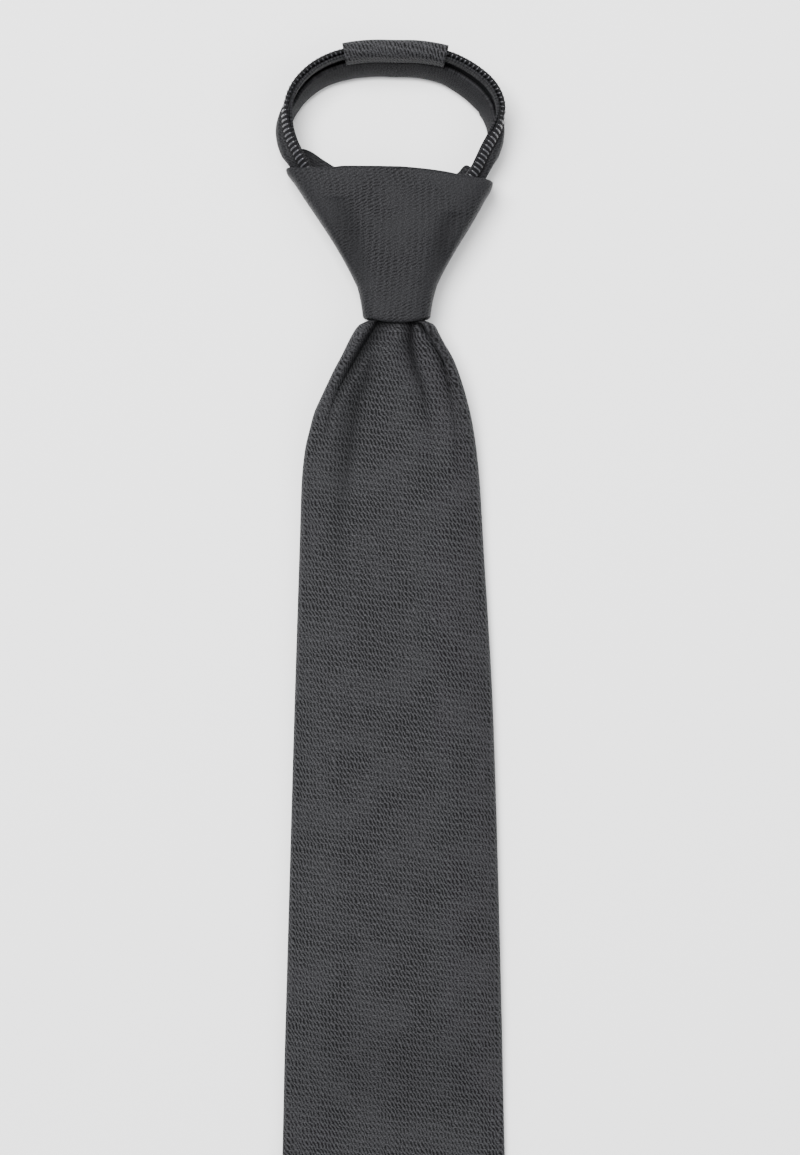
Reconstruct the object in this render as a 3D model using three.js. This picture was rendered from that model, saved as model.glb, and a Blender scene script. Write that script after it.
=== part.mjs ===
import * as THREE from "three";

// Zipper tie laid on its back: the front faces +Z, the neck loop is towards +Y and the tip towards -Y.
// Lengths are in millimetres. Plan positions are taken from the middle of the knot's top edge.

// Cloth and gaps
const CLOTH = 1.2;
const BAND_CLOTH = 1.1;
const SLEEVE_CLOTH = 1.0;
const TAPE = 0.76;
const GAP = 0.3;

// Zip coil: width across the loops, height, and how far the tape edge stays behind the heads
const COIL_WIDTH = 2.6;
const COIL_HEIGHT = 1.5;
const TAPE_SETBACK = 0.6;
const TAPE_LEVEL = -(COIL_HEIGHT / 2 + GAP + TAPE / 2);

// Middle of the closed zip, and half the distance between its two coils
const ZIP_X = 1.8;
const CLOSED = (COIL_WIDTH + GAP) / 2;

// Bands: width, levels of the two legs when pressed flat, and how far a puff of 1 lifts them
const BAND_WIDTH = 13;
const LEG_LEVEL = -0.95;
const LEG_GAP = 0.4;
const PUFF = 0.85;
const LIP_DROP = 0.25;
const LIP_SWELL = 0.1;
const FOLD_START = 3.3;

// Blade
const BLADE_WIDTH = 70;
const BLADE_LENGTH = 473;
const BLADE_THICK = 4.2;
const TIP_LENGTH = 35;
const CREASE_HALF = 1.7;
const SEAM_HALF = 5;
const SEAM_START = 0.086 * BLADE_WIDTH;
const DROOP_START = 0.214 * BLADE_WIDTH;
const TIP_HALF = 8;
const TIP_END = 0.3;
const TIP_SIZE = 0.04;

// Knot, thick enough for the closed zip, the blade's root and its own walls
const KNOT_WIDTH = 55.5;
const KNOT_LENGTH = 41;
const KNOT_WAIST = 0.306 * KNOT_WIDTH;
const KNOT_FRONT_WALL = 2.0;
const KNOT_BACK_WALL = 1.4;
const KNOT_SIDE_WALL = 1.4;
const KNOT_FRONT_POWER = 4;
const KNOT_BACK_POWER = 6;
const FLUTE_DEPTH = 0.8;
const RIM_DROP = 0.7;
const ROOT_ROOM = 0.8;
const ZIP_FLOOR = KNOT_BACK_WALL + 0.6;
const BLADE_SEAT = ZIP_FLOOR + 5.3;
const KNOT_THICK = BLADE_SEAT + 1.24 * BLADE_THICK + 1.9 + KNOT_FRONT_WALL;

// Neck loop along the coils, and where the sleeve over their joint ends
const LOOP_WIDTH = 1.045 * KNOT_WIDTH;
const LOOP_RISE = 31;
const SLEEVE_ENDS = [-0.243 * LOOP_WIDTH, 0.231 * LOOP_WIDTH];

// Slider
const SLIDER_WIDTH = 8.2;
const SLIDER_LENGTH = 9.4;
const SLIDER_PLATE = 0.8;
const SLIDER_TOP_Y = -0.663 * KNOT_LENGTH;

const BLADE_TOP_Y = -1.024 * KNOT_LENGTH;
const BLADE_TIP_Y = BLADE_TOP_Y - BLADE_LENGTH;
const SHOULDER_Y = BLADE_TIP_Y + TIP_LENGTH;

// Each colour is the mean of its piece
const COLOURS = {
  cloth: 0x434345,
  knotCloth: 0x424244,
  bandCloth: 0x3e3e40,
  coil: 0x141415,
  metal: 0x6a6a6c,
};

const radians = THREE.MathUtils.degToRad;
const clamp = THREE.MathUtils.clamp;

// Named rows from a short table
const table = (names, ...rows) => rows.map((row) => Object.fromEntries(names.map((n, i) => [n, row[i]])));

// Rows with each column turned from shares into lengths
function sized(rows, units) {
  const length = ([name, share]) => [name, share * (units[name] ?? 1)];
  return rows.map((row) => Object.fromEntries(Object.entries(row).map(length)));
}

// Smooth value between rows without overshoot; the rows rise or fall in the key column
function between(rows, key, value, at) {
  const list = rows[0][key] < rows[rows.length - 1][key] ? rows : [...rows].reverse();
  const xs = list.map((row) => row[key]);
  const ys = list.map((row) => row[value]);
  if (at <= xs[0]) return ys[0];
  const last = xs.length - 1;
  if (at >= xs[last]) return ys[last];
  let i = 0;
  while (at > xs[i + 1]) i++;
  const slope = (k) => (ys[k + 1] - ys[k]) / (xs[k + 1] - xs[k]);
  const tangent = (k) => {
    if (k === 0) return slope(0);
    if (k === last) return slope(last - 1);
    const [a, b] = [slope(k - 1), slope(k)];
    return a * b <= 0 ? 0 : (2 * a * b) / (a + b);
  };
  const h = xs[i + 1] - xs[i];
  const t = (at - xs[i]) / h;
  const [t2, t3] = [t * t, t * t * t];
  return (
    ys[i] * (2 * t3 - 3 * t2 + 1) +
    tangent(i) * h * (t3 - 2 * t2 + t) +
    ys[i + 1] * (3 * t2 - 2 * t3) +
    tangent(i + 1) * h * (t3 - t2)
  );
}

// Closed solid from points and faces, turned so that its faces look outwards
function solid(points, faces) {
  const [a, b, c] = [new THREE.Vector3(), new THREE.Vector3(), new THREE.Vector3()];
  let volume = 0;
  for (const [i, j, k] of faces) {
    a.fromArray(points[i]);
    b.fromArray(points[j]);
    c.fromArray(points[k]);
    volume += a.dot(b.cross(c));
  }
  const order = volume < 0 ? faces.map(([i, j, k]) => [i, k, j]) : faces;
  const geometry = new THREE.BufferGeometry();
  geometry.setAttribute("position", new THREE.Float32BufferAttribute(points.flat(), 3));
  geometry.setIndex(order.flat());
  geometry.computeVertexNormals();
  return geometry;
}

// Cloth between an outer and an inner grid of points; a ring closes on itself across each row
function cloth(outer, inner, ring = false) {
  const [rows, cols] = [outer.length, outer[0].length];
  const at = (side, i, j) => (side * rows + i) * cols + (j % cols);
  const faces = [];
  const quad = (a, b, c, d) => faces.push([a, b, c], [a, c, d]);
  const across = ring ? cols : cols - 1;
  const end = rows - 1;
  for (let j = 0; j < across; j++) {
    for (let i = 0; i < end; i++) {
      quad(at(0, i, j), at(0, i, j + 1), at(0, i + 1, j + 1), at(0, i + 1, j));
      quad(at(1, i, j), at(1, i + 1, j), at(1, i + 1, j + 1), at(1, i, j + 1));
    }
    quad(at(0, 0, j), at(1, 0, j), at(1, 0, j + 1), at(0, 0, j + 1));
    quad(at(0, end, j), at(0, end, j + 1), at(1, end, j + 1), at(1, end, j));
  }
  for (let i = 0; i < end && !ring; i++) {
    quad(at(0, i, 0), at(0, i + 1, 0), at(1, i + 1, 0), at(1, i, 0));
    quad(at(0, i + 1, cols - 1), at(0, i, cols - 1), at(1, i, cols - 1), at(1, i + 1, cols - 1));
  }
  return solid([...outer.flat(), ...inner.flat()], faces);
}

// Solid through a row of closed rings, with flat ends
function stack(rings) {
  const cols = rings[0].length;
  const at = (i, j) => i * cols + (j % cols);
  const faces = [];
  for (let i = 0; i < rings.length - 1; i++) {
    for (let j = 0; j < cols; j++) {
      faces.push([at(i, j), at(i, j + 1), at(i + 1, j + 1)], [at(i, j), at(i + 1, j + 1), at(i + 1, j)]);
    }
  }
  const end = rings.length - 1;
  for (let j = 1; j < cols - 1; j++) {
    faces.push([at(0, 0), at(0, j + 1), at(0, j)], [at(end, 0), at(end, j), at(end, j + 1)]);
  }
  return solid(rings.flat(), faces);
}

// Two faces of a strip of cloth along a flat line of [a, b, half thickness]
function faces2d(line) {
  const outer = [];
  const inner = [];
  line.forEach(([a, b, half], i) => {
    const before = line[Math.max(i - 1, 0)];
    const after = line[Math.min(i + 1, line.length - 1)];
    const length = Math.hypot(after[0] - before[0], after[1] - before[1]);
    const [na, nb] = [-(after[1] - before[1]) / length, (after[0] - before[0]) / length];
    outer.push([a + na * half, b + nb * half]);
    inner.push([a - na * half, b - nb * half]);
  });
  return [outer, inner];
}

// The two bands, from the joint at the back of the loop to the end of the closed zip.
// out is how far the coil lies from its place in the closed zip, edge and leg the slope of the tape edge and
// of the legs in degrees (0 outwards, -90 down, beyond -90 in under the coil), turning between from and to.
// Along the loop out and y are shares of its width and rise, and from, to and width of the band's width.
// In the knot they are shares of its width, length and thickness. foot is a share of the zip's floor.
const BAND_COLUMNS = ["out", "y", "edge", "leg", "from", "to", "width", "puff", "foot", "steps"];
const LOOP_UNITS = {
  out: LOOP_WIDTH,
  y: LOOP_RISE,
  from: BAND_WIDTH,
  to: BAND_WIDTH,
  width: BAND_WIDTH,
  foot: ZIP_FLOOR,
};
const KNOT_UNITS = { ...LOOP_UNITS, out: KNOT_WIDTH, y: KNOT_LENGTH, width: KNOT_THICK };
const TAIL_UNITS = { ...LOOP_UNITS, y: -BLADE_LENGTH };
const LEFT_LOOP = table(
  BAND_COLUMNS,
  [-0.018, 0.997, -100, -103, 0.154, 0.462, 1, 1.2, 0, 1],
  [0.089, 1, -100, -103, 0.154, 0.462, 1, 1.2, 0, 2],
  [0.211, 0.974, -100, -103, 0.154, 0.462, 1, 1.2, 0, 2],
  [0.292, 0.926, -99, -102, 0.154, 0.462, 1, 1.1, 0, 2],
  [0.361, 0.855, -97, -100, 0.154, 0.462, 1, 1, 0, 2],
  [0.422, 0.752, -94, -97, 0.154, 0.462, 1, 1, 0, 2],
  [0.461, 0.645, -90, -94, 0.154, 0.462, 1, 0.9, 0, 2],
  [0.48, 0.545, -82, -92, 0.154, 0.462, 1, 0.8, 0, 1],
  [0.487, 0.439, -66, -91, 0.154, 0.438, 0.992, 0.8, 0.05, 1],
  [0.482, 0.339, -50, -91, 0.154, 0.431, 0.962, 0.8, 0.25, 1],
  [0.468, 0.239, -40, -92, 0.154, 0.415, 0.908, 0.8, 0.6, 1],
  [0.447, 0.148, -33, -96, 0.154, 0.4, 0.838, 0.8, 1.05, 1],
  [0.422, 0.061, -28, -107, 0.115, 0.331, 0.769, 0.8, 1.33, 1],
);
const LEFT_IN_KNOT = table(
  BAND_COLUMNS,
  [0.406, -0.029, -24, -114, 0.108, 0.308, 0.561, 0.8, 1.15, 2],
  [0.323, -0.176, -22, -116, 0.108, 0.292, 0.525, 0.6, 1.05, 2],
  [0.244, -0.317, -20, -106, 0.108, 0.292, 0.476, 0.5, 1.05, 2],
  [0.168, -0.459, -15, -84, 0.123, 0.308, 0.415, 0.3, 1.1, 2],
  [0.102, -0.58, -8, -44, 0.138, 0.308, 0.335, 0.1, 1.1, 2],
  [0.053, -0.683, 0, -14, 0.154, 0.308, 0.299, 0, 1.05, 2],
  [0.015, -0.766, 0, 0, 0.154, 0.308, 0.287, 0, 1, 1],
  [0.001, -0.834, 0, 0, 0.154, 0.308, 0.287, 0, 1, 1],
  [0, -1.024, 0, 0, 0.154, 0.308, 0.287, 0, 1, 1],
);
const RIGHT_LOOP = table(
  BAND_COLUMNS,
  [-0.018, 0.997, -100, -103, 0.154, 0.462, 1, 1.2, 0, 1],
  [0.082, 0.994, -101, -104, 0.154, 0.462, 1, 1.2, 0, 2],
  [0.209, 0.952, -103, -106, 0.154, 0.462, 1, 1.2, 0, 2],
  [0.278, 0.9, -105, -108, 0.154, 0.462, 1, 1.2, 0, 2],
  [0.346, 0.823, -106, -109, 0.154, 0.462, 1, 1.2, 0, 2],
  [0.404, 0.732, -106, -109, 0.154, 0.462, 1, 1.2, 0, 2],
  [0.442, 0.635, -104, -108, 0.154, 0.462, 1, 1.1, 0, 2],
  [0.461, 0.535, -99, -106, 0.154, 0.462, 1, 1, 0, 1],
  [0.463, 0.435, -90, -108, 0.154, 0.438, 0.992, 0.9, 0.05, 1],
  [0.447, 0.329, -66, -106, 0.154, 0.431, 0.962, 0.8, 0.2, 1],
  [0.42, 0.235, -46, -100, 0.154, 0.415, 0.908, 0.8, 0.5, 1],
  [0.391, 0.145, -36, -96, 0.154, 0.4, 0.838, 0.8, 0.9, 1],
  [0.366, 0.052, -30, -106, 0.123, 0.346, 0.769, 0.8, 1.15, 1],
);
const RIGHT_IN_KNOT = table(
  BAND_COLUMNS,
  [0.352, -0.039, -26, -113, 0.108, 0.308, 0.573, 0.8, 1.05, 1],
  [0.307, -0.132, -24, -116, 0.108, 0.292, 0.537, 0.7, 1.05, 2],
  [0.239, -0.278, -20, -110, 0.108, 0.292, 0.488, 0.5, 1.05, 2],
  [0.172, -0.42, -15, -90, 0.123, 0.308, 0.426, 0.3, 1.1, 2],
  [0.109, -0.551, -8, -50, 0.138, 0.308, 0.347, 0.1, 1.1, 2],
  [0.055, -0.673, 0, -14, 0.154, 0.308, 0.299, 0, 1.05, 2],
  [0.015, -0.766, 0, 0, 0.154, 0.308, 0.287, 0, 1, 1],
  [0.001, -0.834, 0, 0, 0.154, 0.308, 0.287, 0, 1, 1],
  [0, -1.024, 0, 0, 0.154, 0.308, 0.287, 0, 1, 1],
);
// Below the knot, measured down from its bottom edge
const TAIL = table(
  BAND_COLUMNS,
  [0, 0.013, 0, 0, 0.154, 0.308, 0.492, 0, 0.85, 1],
  [0, 0.038, 0, 0, 0.154, 0.308, 0.846, 0, 0.2, 1],
  [0, 0.072, 0, 0, 0.154, 0.308, 1, 0, 0, 1],
  [0, 0.393, 0, 0, 0.154, 0.308, 1, 0, 0, 0],
);
const tailRows = sized(TAIL, TAIL_UNITS).map((row) => ({ ...row, y: BLADE_TOP_Y + row.y }));
const leftRows = [...sized(LEFT_LOOP, LOOP_UNITS), ...sized(LEFT_IN_KNOT, KNOT_UNITS), ...tailRows];
const rightRows = [...sized(RIGHT_LOOP, LOOP_UNITS), ...sized(RIGHT_IN_KNOT, KNOT_UNITS), ...tailRows];

// Middle line of one band: tape edge, outer leg, fold at the foot, inner leg and its rolled free edge
function bandLine({ width, puff }) {
  const half = BAND_CLOTH / 2;
  const over = LEG_LEVEL + PUFF * Math.min(puff, 1);
  const under = LEG_LEVEL - BAND_CLOTH - LEG_GAP - PUFF * puff;
  const lip = over - BAND_CLOTH - LEG_GAP - LIP_DROP * puff;
  const bend = (over - under) / 2;
  const middle = (over + under) / 2;
  const reach = width - half;
  const turn = Math.max(reach - bend * 1.1, FOLD_START);
  const free = Math.min(clamp(width * 0.41, COIL_WIDTH, BAND_WIDTH * 0.41), turn - 0.7);
  const arc = [60, 25, -10, -45].map((deg) => {
    const s = radians(deg);
    return [turn + (reach - turn) * Math.cos(s), middle + bend * Math.sin(s), half];
  });
  return [
    [TAPE_SETBACK - COIL_WIDTH / 2, TAPE_LEVEL, TAPE / 2],
    [1.4, TAPE_LEVEL, TAPE / 2],
    [2.3, TAPE_LEVEL + (over - TAPE_LEVEL) * 0.55, TAPE / 2 + 0.08],
    [Math.min(3, turn - 0.4), over, half],
    [Math.min(3.8, turn - 0.2), over, half],
    [Math.max((3.8 + turn) / 2, turn - 0.1), over, half],
    ...arc,
    [turn, under, half],
    [(turn + free) / 2, 0.7 * under + 0.3 * lip, half],
    [free, lip, half + LIP_SWELL],
  ];
}

// Point of a band's cross-section, with its legs turned from the tape edge, from the middle of the coil
function turned({ edge, leg, from, to }, [a, b]) {
  const [start, finish] = [radians(edge), radians(leg)];
  const spread = finish - start;
  const steps = [];
  if (a > from && Math.abs(spread) > 1e-6) {
    const angle = start + (spread * (Math.min(a, to) - from)) / (to - from);
    const radius = (to - from) / spread;
    steps.push([from * Math.cos(start), from * Math.sin(start)]);
    steps.push([radius * (Math.sin(angle) - Math.sin(start)), radius * (Math.cos(start) - Math.cos(angle))]);
    if (a > to) steps.push([(a - to) * Math.cos(finish), (a - to) * Math.sin(finish)]);
    steps.push([-(b - TAPE_LEVEL) * Math.sin(angle), (b - TAPE_LEVEL) * Math.cos(angle)]);
  } else {
    steps.push([a * Math.cos(start), a * Math.sin(start)]);
    steps.push([-(b - TAPE_LEVEL) * Math.sin(start), (b - TAPE_LEVEL) * Math.cos(start)]);
  }
  steps.push([-TAPE_LEVEL * Math.sin(start), TAPE_LEVEL * Math.cos(start)]);
  return steps.reduce(([x, z], [dx, dz]) => [x + dx, z + dz], [0, 0]);
}

// Stations along a band: the place of the coil, the outward direction and the two faces of the section
function stationsOf(rows, side) {
  const curve = new THREE.CatmullRomCurve3(
    rows.map(({ out, y }) => new THREE.Vector3(ZIP_X - side * (CLOSED + out), y, 0)),
    false,
    "centripetal",
  );
  const indexed = rows.map((row, index) => ({ ...row, index }));
  const places = rows.flatMap(({ steps }, i) => Array.from({ length: steps }, (_, k) => i + k / steps));
  places.push(rows.length - 1);
  return places.map((place) => {
    const at = Object.fromEntries(
      BAND_COLUMNS.slice(2, 9).map((name) => [name, between(indexed, "index", name, place)]),
    );
    const t = clamp(place / (rows.length - 1), 0, 1);
    const point = curve.getPoint(t);
    const tangent = curve.getTangent(t);
    const out = [side * tangent.y, -side * tangent.x];
    const sections = faces2d(bandLine(at)).map((face) => face.map((p) => turned(at, p)));
    const lowest = Math.min(...sections.flat().map(([, z]) => z));
    return { ...at, out, sections, coil: [point.x, point.y, at.foot - lowest] };
  });
}

const placed = ({ coil, out }, [x, z]) => [coil[0] + out[0] * x, coil[1] + out[1] * x, coil[2] + z];

function bandGeometry(stations) {
  const [outer, inner] = [0, 1].map((side) => stations.map((s) => s.sections[side].map((p) => placed(s, p))));
  return cloth(outer, inner);
}

function coilGeometry(stations, sides = 8) {
  return stack(
    stations.map((station) =>
      Array.from({ length: sides }, (_, k) => {
        const turn = (2 * Math.PI * (k + 0.5)) / sides;
        const [a, b] = [(COIL_WIDTH / 2) * Math.cos(turn), (COIL_HEIGHT / 2) * Math.sin(turn)];
        const tilt = radians(station.edge);
        const [c, s] = [Math.cos(tilt), Math.sin(tilt)];
        return placed(station, [a * c - b * s, a * s + b * c]);
      }),
    ),
  );
}

// Sleeve over the joint: up the outer side, over the teeth and a little way down inside. along is a share of
// the band's width, level goes from 0 under the tape to 1 over the teeth.
const SLEEVE_OVER = COIL_HEIGHT / 2 + GAP + SLEEVE_CLOTH / 2;
const SLEEVE_UNDER = TAPE_LEVEL - TAPE / 2 - GAP - SLEEVE_CLOTH / 2;
const SLEEVE_LINE = table(
  ["along", "level"],
  [0.73, 1],
  [0.51, 1],
  [0.27, 1],
  [-0.03, 1],
  [-0.12, 0.92],
  [-0.17, 0.72],
  [-0.18, 0.48],
  [-0.16, 0.24],
  [-0.1, 0.05],
  [0, 0],
  [0.11, 0],
  [0.2, 0],
);

function sleeveGeometry(left, right, stationCount = 9) {
  const [start, end] = SLEEVE_ENDS.map((x) => ZIP_X + x);
  const path = [...left].reverse().concat(right).filter(({ coil }) => coil[1] > 0.77 * LOOP_RISE);
  const curve = new THREE.CatmullRomCurve3(path.map(({ coil }) => new THREE.Vector3(...coil)));
  const line = SLEEVE_LINE.map(({ along, level }) => [
    along * BAND_WIDTH,
    SLEEVE_UNDER + level * (SLEEVE_OVER - SLEEVE_UNDER),
    SLEEVE_CLOTH / 2,
  ]);
  const sections = faces2d(line).map((face) => face.map((p) => turned(left[0], p)));
  const stations = [];
  for (let i = 0; i < stationCount; i++) {
    const x = start + ((end - start) * i) / (stationCount - 1);
    let [low, high] = [0, 1];
    for (let k = 0; k < 30; k++) {
      const mid = (low + high) / 2;
      if (curve.getPoint(mid).x < x) low = mid;
      else high = mid;
    }
    const point = curve.getPoint(low);
    const tangent = curve.getTangent(low);
    const length = Math.hypot(tangent.x, tangent.y);
    stations.push({ coil: point.toArray(), out: [-tangent.y / length, tangent.x / length] });
  }
  const [outer, inner] = sections.map((face) => stations.map((s) => face.map((p) => placed(s, p))));
  return cloth(outer, inner);
}

// Knot: left and right are distances from the line of the zip. Lengths across are shares of the knot's width,
// y of its length and height of its thickness, and x is taken from the line of the zip.
const KNOT_SHARES = {
  left: KNOT_WIDTH,
  right: KNOT_WIDTH,
  x: KNOT_WIDTH,
  toX: KNOT_WIDTH,
  width: KNOT_WIDTH,
  y: KNOT_LENGTH,
  toY: KNOT_LENGTH,
  height: KNOT_THICK,
};
const knotTable = (...rows) => sized(table(...rows), KNOT_SHARES);
const KNOT_SIDES = knotTable(
  ["y", "left", "right", "height"],
  [0.146, 0.533, 0.467, 0.988],
  [-0.024, 0.533, 0.467, 0.988],
  [-0.112, 0.492, 0.465, 1],
  [-0.232, 0.434, 0.422, 1],
  [-0.39, 0.355, 0.355, 0.994],
  [-0.554, 0.279, 0.281, 0.982],
  [-0.722, 0.213, 0.213, 0.963],
  [-0.793, 0.189, 0.191, 0.951],
  [-0.922, 0.166, 0.166, 0.939],
  [-1.049, 0.153, 0.153, 0.933],
);
const MOUTH_FRONT = knotTable(
  ["x", "y"],
  [-0.533, -0.024],
  [-0.463, -0.034],
  [-0.314, -0.034],
  [-0.247, -0.027],
  [-0.007, -0.029],
  [0.112, -0.041],
  [0.232, -0.063],
  [0.303, -0.083],
  [0.389, -0.1],
  [0.467, -0.112],
);
const MOUTH_BACK = knotTable(
  ["x", "y"],
  [-0.533, -0.024],
  [-0.501, 0.044],
  [-0.468, 0.115],
  [-0.44, 0.105],
  [-0.368, 0.046],
  [-0.319, 0.007],
  [-0.231, -0.049],
  [0.004, -0.073],
  [0.22, -0.078],
  [0.308, -0.041],
  [0.35, 0.01],
  [0.371, -0.005],
  [0.422, -0.083],
  [0.467, -0.112],
);
const KNOT_BOTTOM = knotTable(
  ["x", "y"],
  [-0.153, -0.998],
  [-0.101, -1.015],
  [-0.049, -1.029],
  [0.018, -1.034],
  [0.09, -1.022],
  [0.153, -0.993],
);
const FLUTES = knotTable(
  ["x", "y", "toX", "toY", "width"],
  [-0.281, -0.22, -0.18, -0.805, 0.047],
  [0.274, -0.317, 0.187, -0.829, 0.04],
);

function knotGeometry(around = 44) {
  const levels = [0, 0.035, 0.12, 0.22, 0.34, 0.46, 0.58, 0.7, 0.82, 0.92, 1];
  const mouthCentre = (KNOT_SIDES[0].right - KNOT_SIDES[0].left) / 2;
  const point = (k, level, inside) => {
    const turn = (2 * Math.PI * (k + 0.5)) / around;
    const front = Math.sin(turn) > 0;
    const power = 2 / (front ? KNOT_FRONT_POWER : KNOT_BACK_POWER);
    const bulge = (v) => Math.sign(v) * Math.abs(v) ** power;
    const [across, up] = [bulge(Math.cos(turn)), bulge(Math.sin(turn))];
    const top = between(front ? MOUTH_FRONT : MOUTH_BACK, "x", "y", mouthCentre + (across * KNOT_WIDTH) / 2);
    const low = front ? between(KNOT_BOTTOM, "x", "y", (across * KNOT_WAIST) / 2) : -KNOT_LENGTH;
    const y = top + (low - top) * level;
    const side = (name) => between(KNOT_SIDES, "y", name, y);
    const [left, right, height] = ["left", "right", "height"].map(side);
    const half = (left + right) / 2 - (inside ? KNOT_SIDE_WALL : 0);
    const [floor, roof] = inside ? [KNOT_BACK_WALL, height - KNOT_FRONT_WALL] : [0, height];
    const x = (right - left) / 2 + across * half;
    let z = (floor + roof) / 2 + (up * (roof - floor)) / 2;
    if (!inside && front) {
      for (const flute of FLUTES) {
        const along = clamp((y - flute.y) / (flute.toY - flute.y), 0, 1);
        const fade = Math.max(Math.sin(Math.PI * along), 0) ** 0.6;
        const offset = (x - (flute.x + (flute.toX - flute.x) * along)) / flute.width;
        z -= FLUTE_DEPTH * fade * up * Math.exp(-offset * offset);
      }
      if (level === 0) z -= RIM_DROP * up;
    }
    return [ZIP_X + x, y, z];
  };
  const grid = (inside) =>
    levels.map((level) => Array.from({ length: around }, (_, k) => point(k, level, inside)));
  return cloth(grid(false), grid(true), true);
}

// Blade below the knot: down is measured from the knot's bottom edge as a share of the blade's length, left
// and right from the line of the zip as shares of its width. back is the height of its back face and droop
// how far its sides sink, as shares of the seat, and thick is a share of its thickness.
const BLADE_SHARES = {
  down: BLADE_LENGTH,
  left: BLADE_WIDTH,
  right: BLADE_WIDTH,
  x: BLADE_WIDTH,
  back: BLADE_SEAT,
  droop: BLADE_SEAT,
  thick: BLADE_THICK,
  depth: BLADE_THICK,
};
const bladeTable = (...rows) =>
  sized(table(...rows), BLADE_SHARES).map((row) => ({ ...row, y: BLADE_TOP_Y - row.down }));
const ROOT_HALF = KNOT_WAIST / 2 - KNOT_SIDE_WALL - ROOT_ROOM;
const BLADE = [
  ...[0.756, 0.878, 1].map((share) => ({
    y: -share * KNOT_LENGTH,
    left: ROOT_HALF,
    right: ROOT_HALF,
    back: BLADE_SEAT,
    thick: 1.24 * BLADE_THICK,
    droop: 0,
  })),
  ...bladeTable(
    ["down", "left", "right", "back", "thick", "droop"],
    [0.0019, 0.1443, 0.1443, 0.973, 1.381, 0],
    [0.007, 0.1714, 0.1657, 0.932, 1.571, 0],
    [0.0127, 0.1914, 0.1871, 0.877, 1.548, 0],
    [0.019, 0.2129, 0.2129, 0.836, 1.5, 0],
    [0.0264, 0.24, 0.2343, 0.795, 1.429, 0],
    [0.0338, 0.2643, 0.2514, 0.753, 1.357, 0.014],
    [0.0423, 0.2914, 0.2686, 0.712, 1.286, 0.068],
    [0.0507, 0.3171, 0.2829, 0.685, 1.214, 0.137],
    [0.0592, 0.3329, 0.2943, 0.658, 1.167, 0.205],
    [0.0719, 0.3529, 0.3071, 0.63, 1.119, 0.301],
    [0.0909, 0.3657, 0.32, 0.603, 1.071, 0.397],
    [0.1226, 0.3729, 0.3329, 0.589, 1.024, 0.479],
    [0.222, 0.3943, 0.3714, 0.589, 1, 0.521],
    [0.3932, 0.4271, 0.4043, 0.589, 1, 0.521],
    [0.4228, 0.4329, 0.4086, 0.288, 1, 0.26],
    [0.4524, 0.4371, 0.4129, 0, 1, 0],
    [0.6934, 0.4757, 0.4514, 0, 1, 0],
    [0.926, 0.5086, 0.4914, 0, 1, 0],
  ),
];
const CREASE_COLUMNS = ["down", "x", "depth"];
const CREASES = {
  left: bladeTable(
    CREASE_COLUMNS,
    [-0.0233, -0.0629, 0.381],
    [-0.0021, -0.0686, 0.476],
    [0.0021, -0.0829, 0.69],
    [0.0085, -0.11, 0.714],
    [0.0156, -0.14, 0.619],
    [0.0226, -0.1671, 0.524],
    [0.0296, -0.1943, 0.405],
    [0.0359, -0.2171, 0.286],
    [0.0419, -0.2343, 0.19],
    [0.0486, -0.2514, 0.095],
    [0.0655, -0.2829, 0],
    [0.1226, -0.2971, 0],
  ),
  leftSoft: bladeTable(
    CREASE_COLUMNS,
    [-0.0233, -0.0429, 0],
    [0.0042, -0.0486, 0.024],
    [0.0127, -0.1, 0.119],
    [0.0233, -0.11, 0.238],
    [0.0351, -0.1229, 0.238],
    [0.0486, -0.1529, 0.19],
    [0.0761, -0.1743, 0.095],
    [0.1121, -0.1914, 0],
    [0.1649, -0.1971, 0],
  ),
  right: bladeTable(
    CREASE_COLUMNS,
    [-0.0233, 0.0443, 0.286],
    [-0.0021, 0.05, 0.429],
    [0.0021, 0.0557, 0.595],
    [0.0114, 0.0543, 0.524],
    [0.0237, 0.0671, 0.357],
    [0.0349, 0.0929, 0.19],
    [0.0444, 0.1086, 0.071],
    [0.0592, 0.1214, 0],
    [0.1226, 0.1314, 0],
  ),
  rightSoft: bladeTable(
    CREASE_COLUMNS,
    [-0.0233, 0.0729, 0.095],
    [-0.0021, 0.0771, 0.238],
    [0.0013, 0.0871, 0.476],
    [0.0044, 0.1057, 0.429],
    [0.0085, 0.1314, 0.286],
    [0.0156, 0.1543, 0.238],
    [0.0203, 0.1686, 0.214],
    [0.0368, 0.1986, 0.119],
    [0.055, 0.2171, 0],
    [0.1226, 0.2314, 0],
  ),
};

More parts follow.
